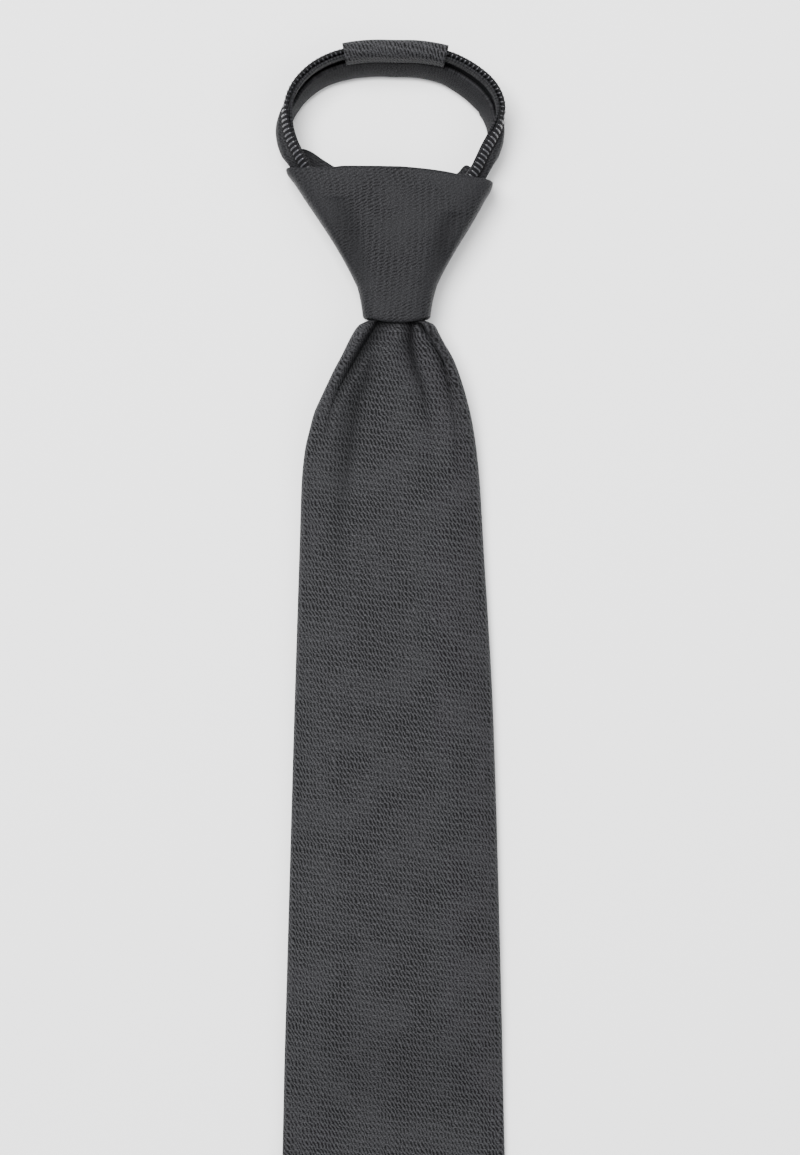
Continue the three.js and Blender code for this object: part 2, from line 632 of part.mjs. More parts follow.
// Middle line of the blade's cloth at y: right flap, right side, pleated front, left side, left flap
function bladeLine({ y, left, right }) {
  const at = (name) => between(BLADE, "y", name, y);
  const [back, thick, droop] = ["back", "thick", "droop"].map(at);
  const half = CLOTH / 2;
  const [centre, reach] = [(right - left) / 2, (right + left) / 2];
  const seam = clamp((reach - SEAM_START) * 0.45, 0.8, SEAM_HALF);
  const roll = thick / 2 - half;
  const [low, high] = [back + half, back + thick - half];
  const crease = (name, column) => between(CREASES[name], "y", column, y);
  const [x0, x1] = [half + roll - left, right - half - roll];
  const scale = y < SHOULDER_Y ? clamp(reach / 20, 0.2, 1) : 1;
  const [main, soft, first, second] = ["left", "leftSoft", "right", "rightSoft"].map((name) => [
    centre + (crease(name, "x") - centre) * scale,
    crease(name, "depth"),
  ]);
  const wide = Math.min(CREASE_HALF, 0.08 * reach + 0.7);
  const raw = [
    [x0, 0],
    [main[0] - wide, 0],
    [main[0], main[1]],
    [main[0] + wide, 0],
    [Math.max(soft[0], main[0] + wide + 0.6), soft[1]],
    [(soft[0] + first[0]) / 2, 0],
    [first[0] - wide, 0],
    [first[0], first[1]],
    [(first[0] + second[0]) / 2, (first[1] + second[1]) / 4],
    [second[0], second[1]],
    [second[0] + wide, 0],
    [x1, 0],
  ];
  const front = [];
  for (const [x, depth] of raw) {
    const before = front.length ? front[front.length - 1][0] : -Infinity;
    front.push([Math.max(x, before + 0.35), high - depth, half]);
  }
  const over = front[front.length - 1][0] - x1;
  if (over > 0) front.forEach((p, i) => (p[0] -= (over * i) / (front.length - 1)));
  const side = (x, sign) =>
    [45, 0, -45].map((deg) => [
      x + sign * roll * Math.cos(radians(deg)),
      (low + high) / 2 + ((high - low) / 2) * Math.sin(radians(deg)),
      half,
    ]);
  const step = CLOTH + GAP;
  const line = [
    [centre - seam, low, half],
    [centre + seam + 1, low, half],
    [x1, low, half],
    ...side(x1, 1).reverse(),
    ...front.reverse(),
    ...side(x0, -1),
    [x0, low, half],
    [Math.max(centre - seam - 3.4, x0 + 0.5), low, half],
    [centre - seam - 1.1, low + step, half],
    [centre + seam, low + step, half],
  ];
  return line.map(([x, z, h]) => {
    const beyond = clamp((Math.abs(x - centre) - DROOP_START) / Math.max(reach - DROOP_START, 1), 0, 1.2);
    return [x, z - droop * beyond ** 1.5, h];
  });
}

const centreOf = ({ left, right }) => (right - left) / 2;

function bladeGeometry() {
  const stations = BLADE.map(({ y, left, right }) => ({ y, left, right, size: 1 }));
  const shoulder = BLADE[BLADE.length - 1];
  const centre = centreOf(shoulder);
  const reach = (shoulder.left + shoulder.right) / 2;
  const addTip = (half, up, size) =>
    stations.push({ y: BLADE_TIP_Y + up, left: half - centre, right: half + centre, size });
  for (const half of [0.63 * reach, TIP_HALF]) addTip(half, (TIP_LENGTH * half) / reach, 1);
  addTip(TIP_HALF, TIP_END, TIP_SIZE);
  const grids = [[], []];
  for (const station of stations) {
    const middle = centreOf(station);
    const place = ([x, z]) => [ZIP_X + middle + (x - middle) * station.size, station.y, z * station.size];
    faces2d(bladeLine(station)).forEach((face, side) => grids[side].push(face.map(place)));
  }
  return cloth(...grids);
}

// Slider: two plates with a wedge between them at the end where the two coils part. x is a share of its width
// and down of its length.
const SLIDER_PLAN = table(
  ["x", "down"],
  [0, 1],
  [0.232, 0.957],
  [0.378, 0.83],
  [0.427, 0.511],
  [0.5, 0.245],
  [0.488, 0.085],
  [0.317, 0.021],
  [0, 0],
);
const WEDGE = { down: 0.2, halfWidth: 0.098, halfLength: 0.138 };

function sliderGeometry(level) {
  const plate = SLIDER_PLAN.map(({ x, down }) => [x * SLIDER_WIDTH, SLIDER_TOP_Y - down * SLIDER_LENGTH]);
  const outline = [...plate, ...plate.slice(1, -1).reverse().map(([x, y]) => [-x, y])];
  const wedgeY = SLIDER_TOP_Y - WEDGE.down * SLIDER_LENGTH;
  const wedge = outline.map(([x, y]) => {
    const length = Math.hypot(x, y - wedgeY);
    const [across, along] = [x / length, (y - wedgeY) / length];
    return [WEDGE.halfWidth * SLIDER_WIDTH * across, wedgeY + WEDGE.halfLength * SLIDER_LENGTH * along];
  });
  const floor = level + TAPE_LEVEL - TAPE / 2 - GAP;
  const roof = level + COIL_HEIGHT / 2 + GAP;
  const rings = [
    [outline, floor - SLIDER_PLATE],
    [outline, floor],
    [wedge, floor],
    [wedge, roof],
    [outline, roof],
    [outline, roof + SLIDER_PLATE],
  ];
  return stack(rings.map(([ring, z]) => ring.map(([x, y]) => [ZIP_X + x, y, z])));
}

function mesh(name, geometry, colour, roughness, metalness = 0) {
  const material = new THREE.MeshStandardMaterial({ color: colour, roughness, metalness });
  const made = new THREE.Mesh(geometry, material);
  made.name = name;
  return made;
}

const leftStations = stationsOf(leftRows, 1);
const rightStations = stationsOf(rightRows, -1);
const zipLevel = leftStations.find(({ coil }) => coil[1] < -0.8 * KNOT_LENGTH).coil[2];

const tie = new THREE.Group();
tie.name = "zipper_tie";
tie.add(
  mesh("blade", bladeGeometry(), COLOURS.cloth, 0.8),
  mesh("knot", knotGeometry(), COLOURS.knotCloth, 0.8),
  mesh("band_left", bandGeometry(leftStations), COLOURS.bandCloth, 0.85),
  mesh("band_right", bandGeometry(rightStations), COLOURS.bandCloth, 0.85),
  mesh("coil_left", coilGeometry(leftStations), COLOURS.coil, 0.35),
  mesh("coil_right", coilGeometry(rightStations), COLOURS.coil, 0.35),
  mesh("neck_sleeve", sleeveGeometry(leftStations, rightStations), COLOURS.cloth, 0.8),
  mesh("zip_slider", sliderGeometry(zipLevel), COLOURS.metal, 0.4, 1),
);

// Origin under the middle of the whole tie
const box = new THREE.Box3().setFromObject(tie);
const middle = box.getCenter(new THREE.Vector3());
tie.children.forEach(({ geometry }) => geometry.translate(-middle.x, -middle.y, -box.min.z));

export default tie;
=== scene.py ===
# %% [markdown]
# A zipper tie lies on its back on a pale floor. The solid model is loaded first and stays as it is: it gives
# the size and the place of every piece. This lesson then dresses it, one piece and one finish at a time.
# The tie runs along Y with its neck loop up, and its front faces +Z, towards the camera.

# %% Load the solid model
import math

import bpy
import numpy as np
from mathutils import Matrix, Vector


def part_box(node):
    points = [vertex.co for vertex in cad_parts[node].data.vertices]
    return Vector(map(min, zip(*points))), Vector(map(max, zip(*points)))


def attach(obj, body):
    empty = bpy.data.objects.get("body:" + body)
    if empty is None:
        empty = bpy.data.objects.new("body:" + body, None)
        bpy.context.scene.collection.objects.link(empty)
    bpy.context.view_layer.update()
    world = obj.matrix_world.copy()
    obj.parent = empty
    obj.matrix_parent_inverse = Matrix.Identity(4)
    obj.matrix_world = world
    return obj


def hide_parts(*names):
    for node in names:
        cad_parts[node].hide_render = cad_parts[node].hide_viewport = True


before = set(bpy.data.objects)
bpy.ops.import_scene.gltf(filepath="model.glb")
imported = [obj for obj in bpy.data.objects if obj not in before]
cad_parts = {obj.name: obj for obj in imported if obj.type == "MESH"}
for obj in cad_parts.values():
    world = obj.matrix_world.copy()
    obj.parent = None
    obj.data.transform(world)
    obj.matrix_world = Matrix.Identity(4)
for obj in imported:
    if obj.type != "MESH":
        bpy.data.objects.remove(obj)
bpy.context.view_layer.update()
MM = 0.001

# %% [markdown]
# The lengths below are millimetres, measured from the middle of the knot's top edge as it lies. The blade's
# box gives the place of that point in the frame: the tip lies 514.68 mm below it, and the blade's widest part
# is centred 1.2 mm to the right. The cloth ends 0.3 mm before the point where its two edges would meet.

# %% Place of the knot in the frame
TIP_Y = -514.98
TIP_END = 0.3
BLADE_CENTRE_X = 1.2
blade_low, blade_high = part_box("blade")
HOME = np.array([
    (blade_low[0] + blade_high[0]) / 2 / MM - BLADE_CENTRE_X,
    blade_low[1] / MM - (TIP_Y + TIP_END),
    0.0,
])
print("middle of the knot's top edge, mm:", HOME)

# %% [markdown]
# The photograph looks straight down on the tie, from about 0.9 m. At that height its frame, 800 by 1155
# pixels, covers 216 by 312 mm of the floor. Portrait frames fit the sensor to the longer side, so the focal
# length follows from the height of the frame. The lower half of the blade runs out of the picture.

# %% Camera
CAMERA_HEIGHT = 900.0
FRAME_HEIGHT = 311.85
FRAME_CENTRE = (2.7, -110.0)
SENSOR = 36.0

camera_data = bpy.data.cameras.new("camera")
camera = bpy.data.objects.new("camera", camera_data)
bpy.context.collection.objects.link(camera)
camera_data.sensor_fit = "AUTO"
camera_data.sensor_width = SENSOR
camera_data.lens = SENSOR * CAMERA_HEIGHT / FRAME_HEIGHT
camera.location = (
    (FRAME_CENTRE[0] + HOME[0]) * MM,
    (FRAME_CENTRE[1] + HOME[1]) * MM,
    CAMERA_HEIGHT * MM,
)
bpy.context.scene.camera = camera
print("lens", round(camera_data.lens, 1), "mm")

# %% [markdown]
# Colours are picked as the sRGB hex values that the eye sees. Shaders work in linear light, so one function
# turns a hex value into linear numbers.

# %% Colour
def linear(hex_colour):
    parts = [int(hex_colour[k:k + 2], 16) / 255 for k in (1, 3, 5)]
    return [p / 12.92 if p <= 0.04045 else ((p + 0.055) / 1.055) ** 2.4 for p in parts] + [1.0]


print("charcoal in linear light:", [round(c, 4) for c in linear("#434345")])

# %% [markdown]
# A material is a small graph. One helper makes a node of any kind, sets its options, and feeds its inputs,
# either with a fixed value or from another node. A node handed in by itself stands for its first output.

# %% A helper for shader nodes
def add(tree, kind, inputs=None, **options):
    node = tree.nodes.new(kind)
    for name, value in options.items():
        setattr(node, name, value)
    for name, value in (inputs or {}).items():
        if isinstance(value, bpy.types.Node):
            value = value.outputs[0]
        if isinstance(value, bpy.types.NodeSocket):
            tree.links.new(value, node.inputs[name])
        else:
            node.inputs[name].default_value = value
    return node


def new_material(name):
    material = bpy.data.materials.new(name)
    material.use_nodes = True
    material.node_tree.nodes.clear()
    return material, material.node_tree


# %% [markdown]
# The cloth is a charcoal polyester with a small figured weave. Slanted floats of yarn stand 1.0 mm apart
# across the cloth, in rows 1.64 mm apart, and a thin thread closes each row. What reads from a distance is
# the gaps: each is a dark comma between two floats. The pattern is worked out from the map "cloth", which
# holds millimetres of cloth, so it follows each piece through its folds. The figure is crisp in some patches
# and pressed flat in others, and here and there a fibre catches the light. Fibres are about 0.02 mm across
# and can't be drawn at this size, so their glints are painted in as grain of about 0.3 mm, which also darkens
# the cloth a little between them. The lamps are soft and strong enough to make the floor nearly white, so the
# shades are those of a near-black yarn. The deep pleats and the knot's flutes get painted shade: a darker
# tone from the value "crease", which holds how deep a point lies in a pleat or flute. The scales count the
# noise's cells per millimetre of cloth, and a tone runs from 0, shaded, to 1, lit.

# %% The woven cloth
FIGURE_ACROSS = 1.0
FIGURE_ALONG = 1.64
ROW_SLANT = math.tan(math.radians(7))
FLOAT_LEAN = 0.8
SWAY = 0.9
UNEVEN_SCALE = 0.4
GLINT_GRAIN_SCALE = 3.0
PATCH_SCALE = 0.09
GROUND = 0.58
GAP_DARK = 0.9
DOT = 0.55
GLITTER = 0.7
CREASE_SHADE = 0.75
TURN = 2 * math.pi


def weave_cloth(name, lit, shaded, relief, across=FIGURE_ACROSS, along=FIGURE_ALONG, figure=(0.55, 1.0)):
    material, tree = new_material(name)
    place = add(tree, "ShaderNodeUVMap", uv_map="cloth")
    split = add(tree, "ShaderNodeSeparateXYZ", {0: place})
    x, y = split.outputs[0], split.outputs[1]
    # Slow unevenness of the weave, fine grain with painted glints of fibres, and patches where the figure is
    # pressed flat
    slow = add(tree, "ShaderNodeTexNoise", {"Vector": place, "Scale": UNEVEN_SCALE, "Detail": 2.0})
    grain_and_glints = add(tree, "ShaderNodeTexNoise", {"Vector": place, "Scale": GLINT_GRAIN_SCALE, "Detail": 1.0})
    patch = add(tree, "ShaderNodeTexNoise", {"Vector": place, "Scale": PATCH_SCALE, "Detail": 2.0})
    sway = add(tree, "ShaderNodeMath", {0: slow, 1: SWAY, 2: -SWAY / 2}, operation="MULTIPLY_ADD")
    # Rows slope down to the right, and columns lean within each row
    fall = add(tree, "ShaderNodeMath", {0: x, 1: ROW_SLANT, 2: y}, operation="MULTIPLY_ADD")
    row = add(tree, "ShaderNodeMath", {0: fall, 1: 1 / along, 2: sway}, operation="MULTIPLY_ADD")
    within = add(tree, "ShaderNodeMath", {0: row}, operation="FRACT")
    lean = add(tree, "ShaderNodeMath", {0: within, 1: FLOAT_LEAN, 2: sway}, operation="MULTIPLY_ADD")
    column = add(tree, "ShaderNodeMath", {0: x, 1: 1 / across, 2: lean}, operation="MULTIPLY_ADD")
    # A gap lies midway between two floats and closes at both ends of its row
    wave = add(tree, "ShaderNodeMath", {0: column, 1: TURN}, operation="MULTIPLY")
    side = add(tree, "ShaderNodeMath", {0: wave}, operation="COSINE")
    gap = add(tree, "ShaderNodeMapRange", {0: side, 1: 0.5, 2: -0.95, 3: 0.0, 4: 1.0})
    half_turn = add(tree, "ShaderNodeMath", {0: within, 1: math.pi}, operation="MULTIPLY")
    open_row = add(tree, "ShaderNodeMath", {0: half_turn}, operation="SINE")
    length = add(tree, "ShaderNodeMapRange", {0: open_row, 1: 0.1, 2: 0.95, 3: 0.35, 4: 1.0})
    comma = add(tree, "ShaderNodeMath", {0: gap, 1: length}, operation="MULTIPLY")
    # A float is brightest where it crosses the thread between two rows
    crest = add(tree, "ShaderNodeMapRange", {0: side, 1: 0.2, 2: 1.0, 3: 0.0, 4: 1.0})
    crossing = add(tree, "ShaderNodeMapRange", {0: open_row, 1: 0.8, 2: 0.15, 3: 0.0, 4: DOT})
    dot = add(tree, "ShaderNodeMath", {0: crest, 1: crossing}, operation="MULTIPLY")
    # Pressed patches show less of the gaps
    clear = add(tree, "ShaderNodeMapRange", {0: patch, 1: 0.38, 2: 0.62, 3: figure[0], 4: figure[1]})
    shown = add(tree, "ShaderNodeMath", {0: comma, 1: clear}, operation="MULTIPLY")
    body = add(tree, "ShaderNodeMath", {0: shown, 1: -GAP_DARK, 2: GROUND}, operation="MULTIPLY_ADD")
    # Painted highlight: specks of the fine noise light up like glinting fibres, and the rest darkens a little
    glitter = add(tree, "ShaderNodeMapRange", {0: grain_and_glints, 1: 0.4, 2: 0.72, 3: -0.14, 4: GLITTER})
    bright = add(tree, "ShaderNodeMath", {0: dot, 1: clear, 2: glitter}, operation="MULTIPLY_ADD")
    surface = add(tree, "ShaderNodeMath", {0: body, 1: bright}, operation="ADD", use_clamp=True)
    # Painted shade: the tone is darker where the value "crease" says the cloth lies deep in a pleat or flute
    crease = add(tree, "ShaderNodeAttribute", attribute_name="crease")
    painted_crease_shade = add(tree, "ShaderNodeMath", {0: crease.outputs["Fac"], 1: -CREASE_SHADE, 2: 1.0},
                   operation="MULTIPLY_ADD")
    tone = add(tree, "ShaderNodeMath", {0: surface, 1: painted_crease_shade}, operation="MULTIPLY")
    colour = add(tree, "ShaderNodeMix", {0: tone, 6: linear(shaded), 7: linear(lit)}, data_type="RGBA")
    rough = add(tree, "ShaderNodeMath", {0: tone, 1: -0.2, 2: 0.75}, operation="MULTIPLY_ADD")
    bump = add(tree, "ShaderNodeBump", {"Height": surface, "Strength": 0.8, "Distance": relief * MM})
    shader = add(tree, "ShaderNodeBsdfPrincipled", {
        "Base Color": colour.outputs[2],
        "Roughness": rough,
        "IOR": 1.5,
        "Specular IOR Level": 0.12,
        "Sheen Weight": 0.012,
        "Sheen Roughness": 0.4,
        "Sheen Tint": linear("#c8ccd8"),
        "Normal": bump,
    })
    add(tree, "ShaderNodeOutputMaterial", {"Surface": shader})
    return material


BLADE_CLOTH = weave_cloth("blade cloth", "#363638", "#020203", 0.25)
KNOT_CLOTH = weave_cloth("knot cloth", "#242426", "#030304", 0.12, across=0.9, along=1.75, figure=(0.2, 0.7))
BAND_CLOTH = weave_cloth("band cloth", "#242426", "#030304", 0.1, across=0.55, along=0.9, figure=(0.3, 0.8))
print("cloth materials:", BLADE_CLOTH.name, KNOT_CLOTH.name, BAND_CLOTH.name)

# %% [markdown]
# The zip coil is black nylon monofilament. Nylon has an index of refraction of about 1.53 and comes off the
# winding die glossy. Wear dulls it a little, so a faint noise moves the roughness. The coil is wound round a
# flat cord of dyed polyester, which is matt and nearly black, and shows between the turns.

# %% Nylon and its cord
def nylon():
    material, tree = new_material("black nylon")
    where = add(tree, "ShaderNodeTexCoord")
    wear = add(tree, "ShaderNodeTexNoise", {"Vector": where.outputs["Object"], "Scale": 900.0})
    rough = add(tree, "ShaderNodeMapRange", {0: wear, 3: 0.16, 4: 0.32})
    shader = add(tree, "ShaderNodeBsdfPrincipled", {
        "Base Color": linear("#38383b"),
        "Roughness": rough,
        "IOR": 1.53,
    })
    add(tree, "ShaderNodeOutputMaterial", {"Surface": shader})
    return material


def filler_cord():
    material, tree = new_material("filler cord")
    where = add(tree, "ShaderNodeTexCoord")
    fuzz = add(tree, "ShaderNodeTexNoise", {"Vector": where.outputs["Object"], "Scale": 2500.0})
    shades = {0: fuzz, 6: linear("#040405"), 7: linear("#131315")}
    shade = add(tree, "ShaderNodeMix", shades, data_type="RGBA")
    shader = add(tree, "ShaderNodeBsdfPrincipled", {
        "Base Color": shade.outputs[2],
        "Roughness": 0.85,
        "Specular IOR Level": 0.15,
    })
    add(tree, "ShaderNodeOutputMaterial", {"Surface": shader})
    return material


NYLON = nylon()
FILLER_CORD = filler_cord()

# %% [markdown]
# The slider is a zinc casting under black lacquer. It sits inside the knot. Lacquer is a dielectric, so it
# keeps an index of 1.5 and no metallic value. Small dents of the casting show through as a soft bump.

# %% Lacquered zinc
def lacquer():
    material, tree = new_material("lacquered zinc")
    where = add(tree, "ShaderNodeTexCoord")
    dents = {"Vector": where.outputs["Object"], "Scale": 1500.0, "Detail": 3.0}
    cast = add(tree, "ShaderNodeTexNoise", dents)
    bump = add(tree, "ShaderNodeBump", {"Height": cast, "Strength": 0.3, "Distance": 0.05 * MM})
    shades = {0: cast, 6: linear("#19191b"), 7: linear("#26262a")}
    shade = add(tree, "ShaderNodeMix", shades, data_type="RGBA")
    shader = add(tree, "ShaderNodeBsdfPrincipled", {
        "Base Color": shade.outputs[2],
        "Roughness": 0.35,
        "IOR": 1.5,
        "Normal": bump,
    })
    add(tree, "ShaderNodeOutputMaterial", {"Surface": shader})
    return material


slider = bpy.data.objects["zip_slider"]
slider.data.materials.clear()
slider.data.materials.append(lacquer())

# %% [markdown]
# Every cloth piece is drawn the same way: as a row of closed cross-sections joined into a skin. Values
# between the rows of a table come from a smooth curve that never overshoots them.

# %% Smooth values from a short table
def table(names, *rows):
    return {name: np.array([row[k] for row in rows], float) for k, name in enumerate(names)}


def between(xs, ys, at):
    order = np.argsort(xs)
    xs, ys = xs[order], ys[order]
    at = np.clip(at, xs[0], xs[-1])
    step = np.diff(xs)
    slope = np.diff(ys) / step
    product = slope[:-1] * slope[1:]
    total = np.where(slope[:-1] + slope[1:] == 0, 1, slope[:-1] + slope[1:])
    inner = np.where(product <= 0, 0, 2 * product / total)
    tangent = np.concatenate([[slope[0]], inner, [slope[-1]]])
    i = np.clip(np.searchsorted(xs, at, side="right") - 1, 0, len(xs) - 2)
    h = step[i]
    t = (at - xs[i]) / h
    return (
        ys[i] * (2 * t**3 - 3 * t**2 + 1)
        + tangent[i] * h * (t**3 - 2 * t**2 + t)
        + ys[i + 1] * (3 * t**2 - 2 * t**3)
        + tangent[i + 1] * h * (t**3 - t**2)
    )


def value_at(rows, name, y):
    return float(between(rows["y"], rows[name], np.array([y]))[0])


# %% [markdown]
# A strip of cloth has two faces and two round edges. `outline` takes the middle line of the strip in its
# cross-section and returns the closed line round it, with how far each point lies along the cloth. `smooth`
# makes a soft line from a few chosen points.

# %% From a middle line to a closed outline
def smooth(points, count):
    points = np.asarray(points, float)
    far = np.concatenate([[0], np.cumsum(np.hypot(*np.diff(points[:, :2], axis=0).T))])
    start = 2 * points[0] - points[1]
    stop = 2 * points[-1] - points[-2]
    p = np.vstack([start, points, stop])
    at = np.linspace(0, far[-1], count)
    i = np.clip(np.searchsorted(far, at, side="right") - 1, 0, len(points) - 2)
    t = ((at - far[i]) / (far[i + 1] - far[i]))[:, None]
    a, b, c, d = p[i], p[i + 1], p[i + 2], p[i + 3]
    return 0.5 * (2 * b + (c - a) * t + (2 * a - 5 * b + 4 * c - d) * t**2 + (3 * b - a - 3 * c + d) * t**3)


def outline(line, half, edge_points=5):
    line = np.asarray(line, float)
    half = np.broadcast_to(np.asarray(half, float), len(line))[:, None]
    along = np.gradient(line, axis=0)
    along /= np.linalg.norm(along, axis=1)[:, None]
    normal = np.stack([-along[:, 1], along[:, 0]], axis=1)
    far = np.concatenate([[0], np.cumsum(np.linalg.norm(np.diff(line, axis=0), axis=1))])
    turn = np.linspace(0, math.pi, edge_points + 2)[1:-1, None]
    finish = line[-1] + half[-1] * (np.cos(turn) * normal[-1] + np.sin(turn) * along[-1])
    begin = line[0] + half[0] * (-np.cos(turn) * normal[0] - np.sin(turn) * along[0])
    middle = edge_points // 2
    points = np.vstack([
        begin[middle:], line + half * normal, finish, (line - half * normal)[::-1], begin[:middle],
    ])
    across = np.concatenate([
        np.zeros(edge_points - middle), far, np.full(edge_points, far[-1]), far[::-1], np.zeros(middle),
    ])
    return points, across


# %% [markdown]
# `skin` joins the cross-sections into one mesh and stores the map "cloth". Pieces that end in a cut get their
# ends bridged from face to face, and those cuts stay flat. A mesh whose faces look inwards has a negative
# volume, and is turned. `lay_flat` states how large the cloth is before it is folded, measured along its
# sections.

# %% From cross-sections to a mesh
def skin(name, rings, across, along, material, closed=False, crease=None):
    rings = np.asarray(rings, float)
    rows, cols = rings.shape[:2]
    verts = (rings.reshape(-1, 3) + HOME) * MM
    last = rows if closed else rows - 1
    i, j = np.meshgrid(np.arange(last), np.arange(cols), indexing="ij")
    i, j = i.ravel(), j.ravel()
    right = (j + 1) % cols
    down = (i + 1) % rows
    faces = np.stack([i * cols + j, i * cols + right, down * cols + right, down * cols + j], axis=1)
    across = np.broadcast_to(np.asarray(across, float), (rows, cols))
    along = np.asarray(along, float)
    along = np.broadcast_to(along if along.ndim == 2 else along[:, None], (rows + closed, cols))
    across = np.vstack([across, across[:1]]) if closed else across
    below = i + 1
    maps = np.stack([
        np.stack([across[i, j], across[i, right], across[below, right], across[below, j]], axis=1),
        np.stack([along[i, j], along[i, right], along[below, right], along[below, j]], axis=1),
    ], axis=2)
    if not closed:
        half = cols // 2
        k = np.arange(half - 1)
        for row, turn in ((0, 1), (rows - 1, -1)):
            base = row * cols
            cap = np.stack([base + k, base + cols - 1 - k, base + cols - 2 - k, base + k + 1], axis=1)
            cap = cap[:, ::turn]
            faces = np.vstack([faces, cap])
            spot = np.stack([across[row, cap - base], along[row, cap - base]], axis=2)
            maps = np.vstack([maps, spot])
    a, b, c = verts[faces[:, 0]], verts[faces[:, 1]], verts[faces[:, 2]]
    d = verts[faces[:, 3]]
    volume = np.einsum("ij,ij->i", a, np.cross(b, c)).sum() + np.einsum("ij,ij->i", a, np.cross(c, d)).sum()
    if volume < 0:
        faces = faces[:, ::-1]
        maps = maps[:, ::-1]
    mesh = bpy.data.meshes.new(name)
    mesh.from_pydata(verts.tolist(), [], faces.tolist())
    mesh.uv_layers.new(name="cloth").data.foreach_set("uv", maps.ravel())
    mesh.polygons.foreach_set("use_smooth", np.arange(len(faces)) < last * cols)
    # The value "crease" is for painted shade: the cloth shader darkens the tone where it is high.
    if crease is not None:
        mesh.attributes.new("crease", "FLOAT", "POINT").data.foreach_set("value", np.ravel(crease))
    mesh.materials.append(material)
    piece = bpy.data.objects.new(name, mesh)
    bpy.context.collection.objects.link(piece)
    print(name, "has", len(mesh.polygons), "quads and a volume of", round(abs(volume) / 6 / MM**3), "mm3")
    return piece


def hand_over(piece, node):
    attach(piece, "root")
    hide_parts(node)


def lay_flat(piece, width, length, area):
    print(piece.name, "laid flat is", round(width, 1), "by", round(length, 1), "mm,",
          round(area / 100, 1), "cm2")


# %% [markdown]
# The blade is a strip of cloth folded round on itself: the front is one layer, both sides roll over, and two
# flaps meet behind on a seam in the middle. Where it leaves the knot the front is gathered in pleats. The
# left pleat is deep and runs out to the left edge, a shallow one follows it, and two more lie on the right.
# They fade out over some 50 mm, and below them the blade is flat. A cloth simulation would lose the pleats'
# places, so the sections are worked out from a table of the outline and a table of each pleat's line and
# depth. In the first table, back is the height of the underside, and droop is how far the sides sink.

# %% The blade's outline and pleats
CLOTH = 1.2
GAP = 0.3
SHOULDER_Y = -480.0
SEAM_HALF = 5.0

BLADE = table(
    ["y", "left", "right", "back", "thick", "droop"],
    [-31, -4.5, 8.1, 7.3, 5.4, 0],
    [-36, -4.5, 8.1, 7.3, 5.4, 0],
    [-40.5, -4.5, 8.1, 7.3, 5.4, 0],
    [-42.6, -8.3, 11.9, 7.1, 6.2, 0],
    [-45.3, -10.2, 13.4, 6.8, 6.6, 0],
    [-48, -11.6, 14.9, 6.4, 6.5, 0],
    [-51, -13.1, 16.7, 6.1, 6.3, 0],
    [-54.5, -15.0, 18.2, 5.8, 6.0, 0],
    [-58, -16.7, 19.4, 5.5, 5.7, 0.1],
    [-62, -18.6, 20.6, 5.2, 5.4, 0.5],
    [-66, -20.4, 21.6, 5.0, 5.1, 1],
    [-70, -21.5, 22.4, 4.8, 4.9, 1.5],
    [-76, -22.9, 23.3, 4.6, 4.7, 2.2],
    [-85, -23.8, 24.2, 4.4, 4.5, 2.9],
    [-100, -24.3, 25.1, 4.3, 4.3, 3.5],
    [-147, -25.8, 27.8, 4.3, 4.2, 3.8],
    [-228, -28.1, 30.1, 4.3, 4.2, 3.8],
    [-242, -28.5, 30.4, 2.1, 4.2, 1.9],
    [-256, -28.8, 30.7, 0, 4.2, 0],
    [-370, -31.5, 33.4, 0, 4.2, 0],
    [SHOULDER_Y, -33.8, 36.2, 0, 4.2, 0],
)
PLEAT_COLUMNS = ["y", "x", "depth"]
PLEATS = {
    "left": table(
        PLEAT_COLUMNS, [-31, -2.6, 1.6], [-41, -3.0, 2.4], [-43, -4.0, 3.3], [-46, -5.9, 3.5],
        [-49.4, -8.0, 3.3], [-52.7, -9.9, 2.9], [-56, -11.8, 2.4], [-59, -13.4, 1.9],
        [-61.8, -14.6, 1.5], [-65, -15.8, 1.0], [-73, -17.6, 0.4], [-85, -18.6, 0],
    ),
    "left soft": table(
        PLEAT_COLUMNS, [-31, -1.2, 0], [-44, -1.6, 0.2], [-48, -4.4, 0.8], [-53, -5.4, 1.5],
        [-58.6, -6.8, 1.8], [-65, -9.1, 1.8], [-78, -11.0, 1.4], [-95, -13, 0.7], [-120, -14, 0],
    ),
    "right": table(
        PLEAT_COLUMNS, [-31, 4.9, 1.2], [-41, 5.3, 1.9], [-43, 5.7, 2.8], [-47.4, 5.6, 2.7],
        [-53.2, 6.5, 2.1], [-58.5, 8.3, 1.5], [-63, 9.4, 1.0], [-72, 10.8, 0.4], [-85, 12, 0],
    ),
    "right soft": table(
        PLEAT_COLUMNS, [-31, 6.9, 0.4], [-41, 7.2, 1.0], [-42.6, 7.9, 2.1], [-44.1, 9.2, 2.2],
        [-46, 11.0, 1.9], [-49.4, 12.6, 1.7], [-51.6, 13.6, 1.6], [-59.4, 15.7, 1.2],
        [-70, 17.4, 0.6], [-90, 18.6, 0],
    ),
}
PLEAT_WIDTH = {"left": (1.5, 4.6), "left soft": (6.0, 3.0), "right": (2.8, 1.8), "right soft": (1.8, 3.4)}

# %% [markdown]
# One function gives the middle line of the cloth at a station: right flap, right roll, pleated front, left
# roll, left flap. A pleat is a sharp dip with a softer shoulder on one side. Points crowd together on its
# slopes. The left flap climbs over the right one shortly before the seam.

# %% One section of the blade
FRONT_POINTS = 96
ROLL_POINTS = 10
FLAP_POINTS = 14
BEND_POINTS = 26
EVEN_POINTS = 800
SLOPE_CROWDING = 2
PLEAT_FALL = 1.5
PLEAT_POWER = 1.25
DEEP_PLEAT = 2.8
CROWN = 0.25
SEAM_START = 6
SEAM_SHARE = 0.45
SEAM_LEAST = 0.8
CLIMB_FROM = 3.4
CLIMB_TO = 1.1
DROOP_START = 15
DROOP_LIMIT = 1.2
DROOP_POWER = 1.5


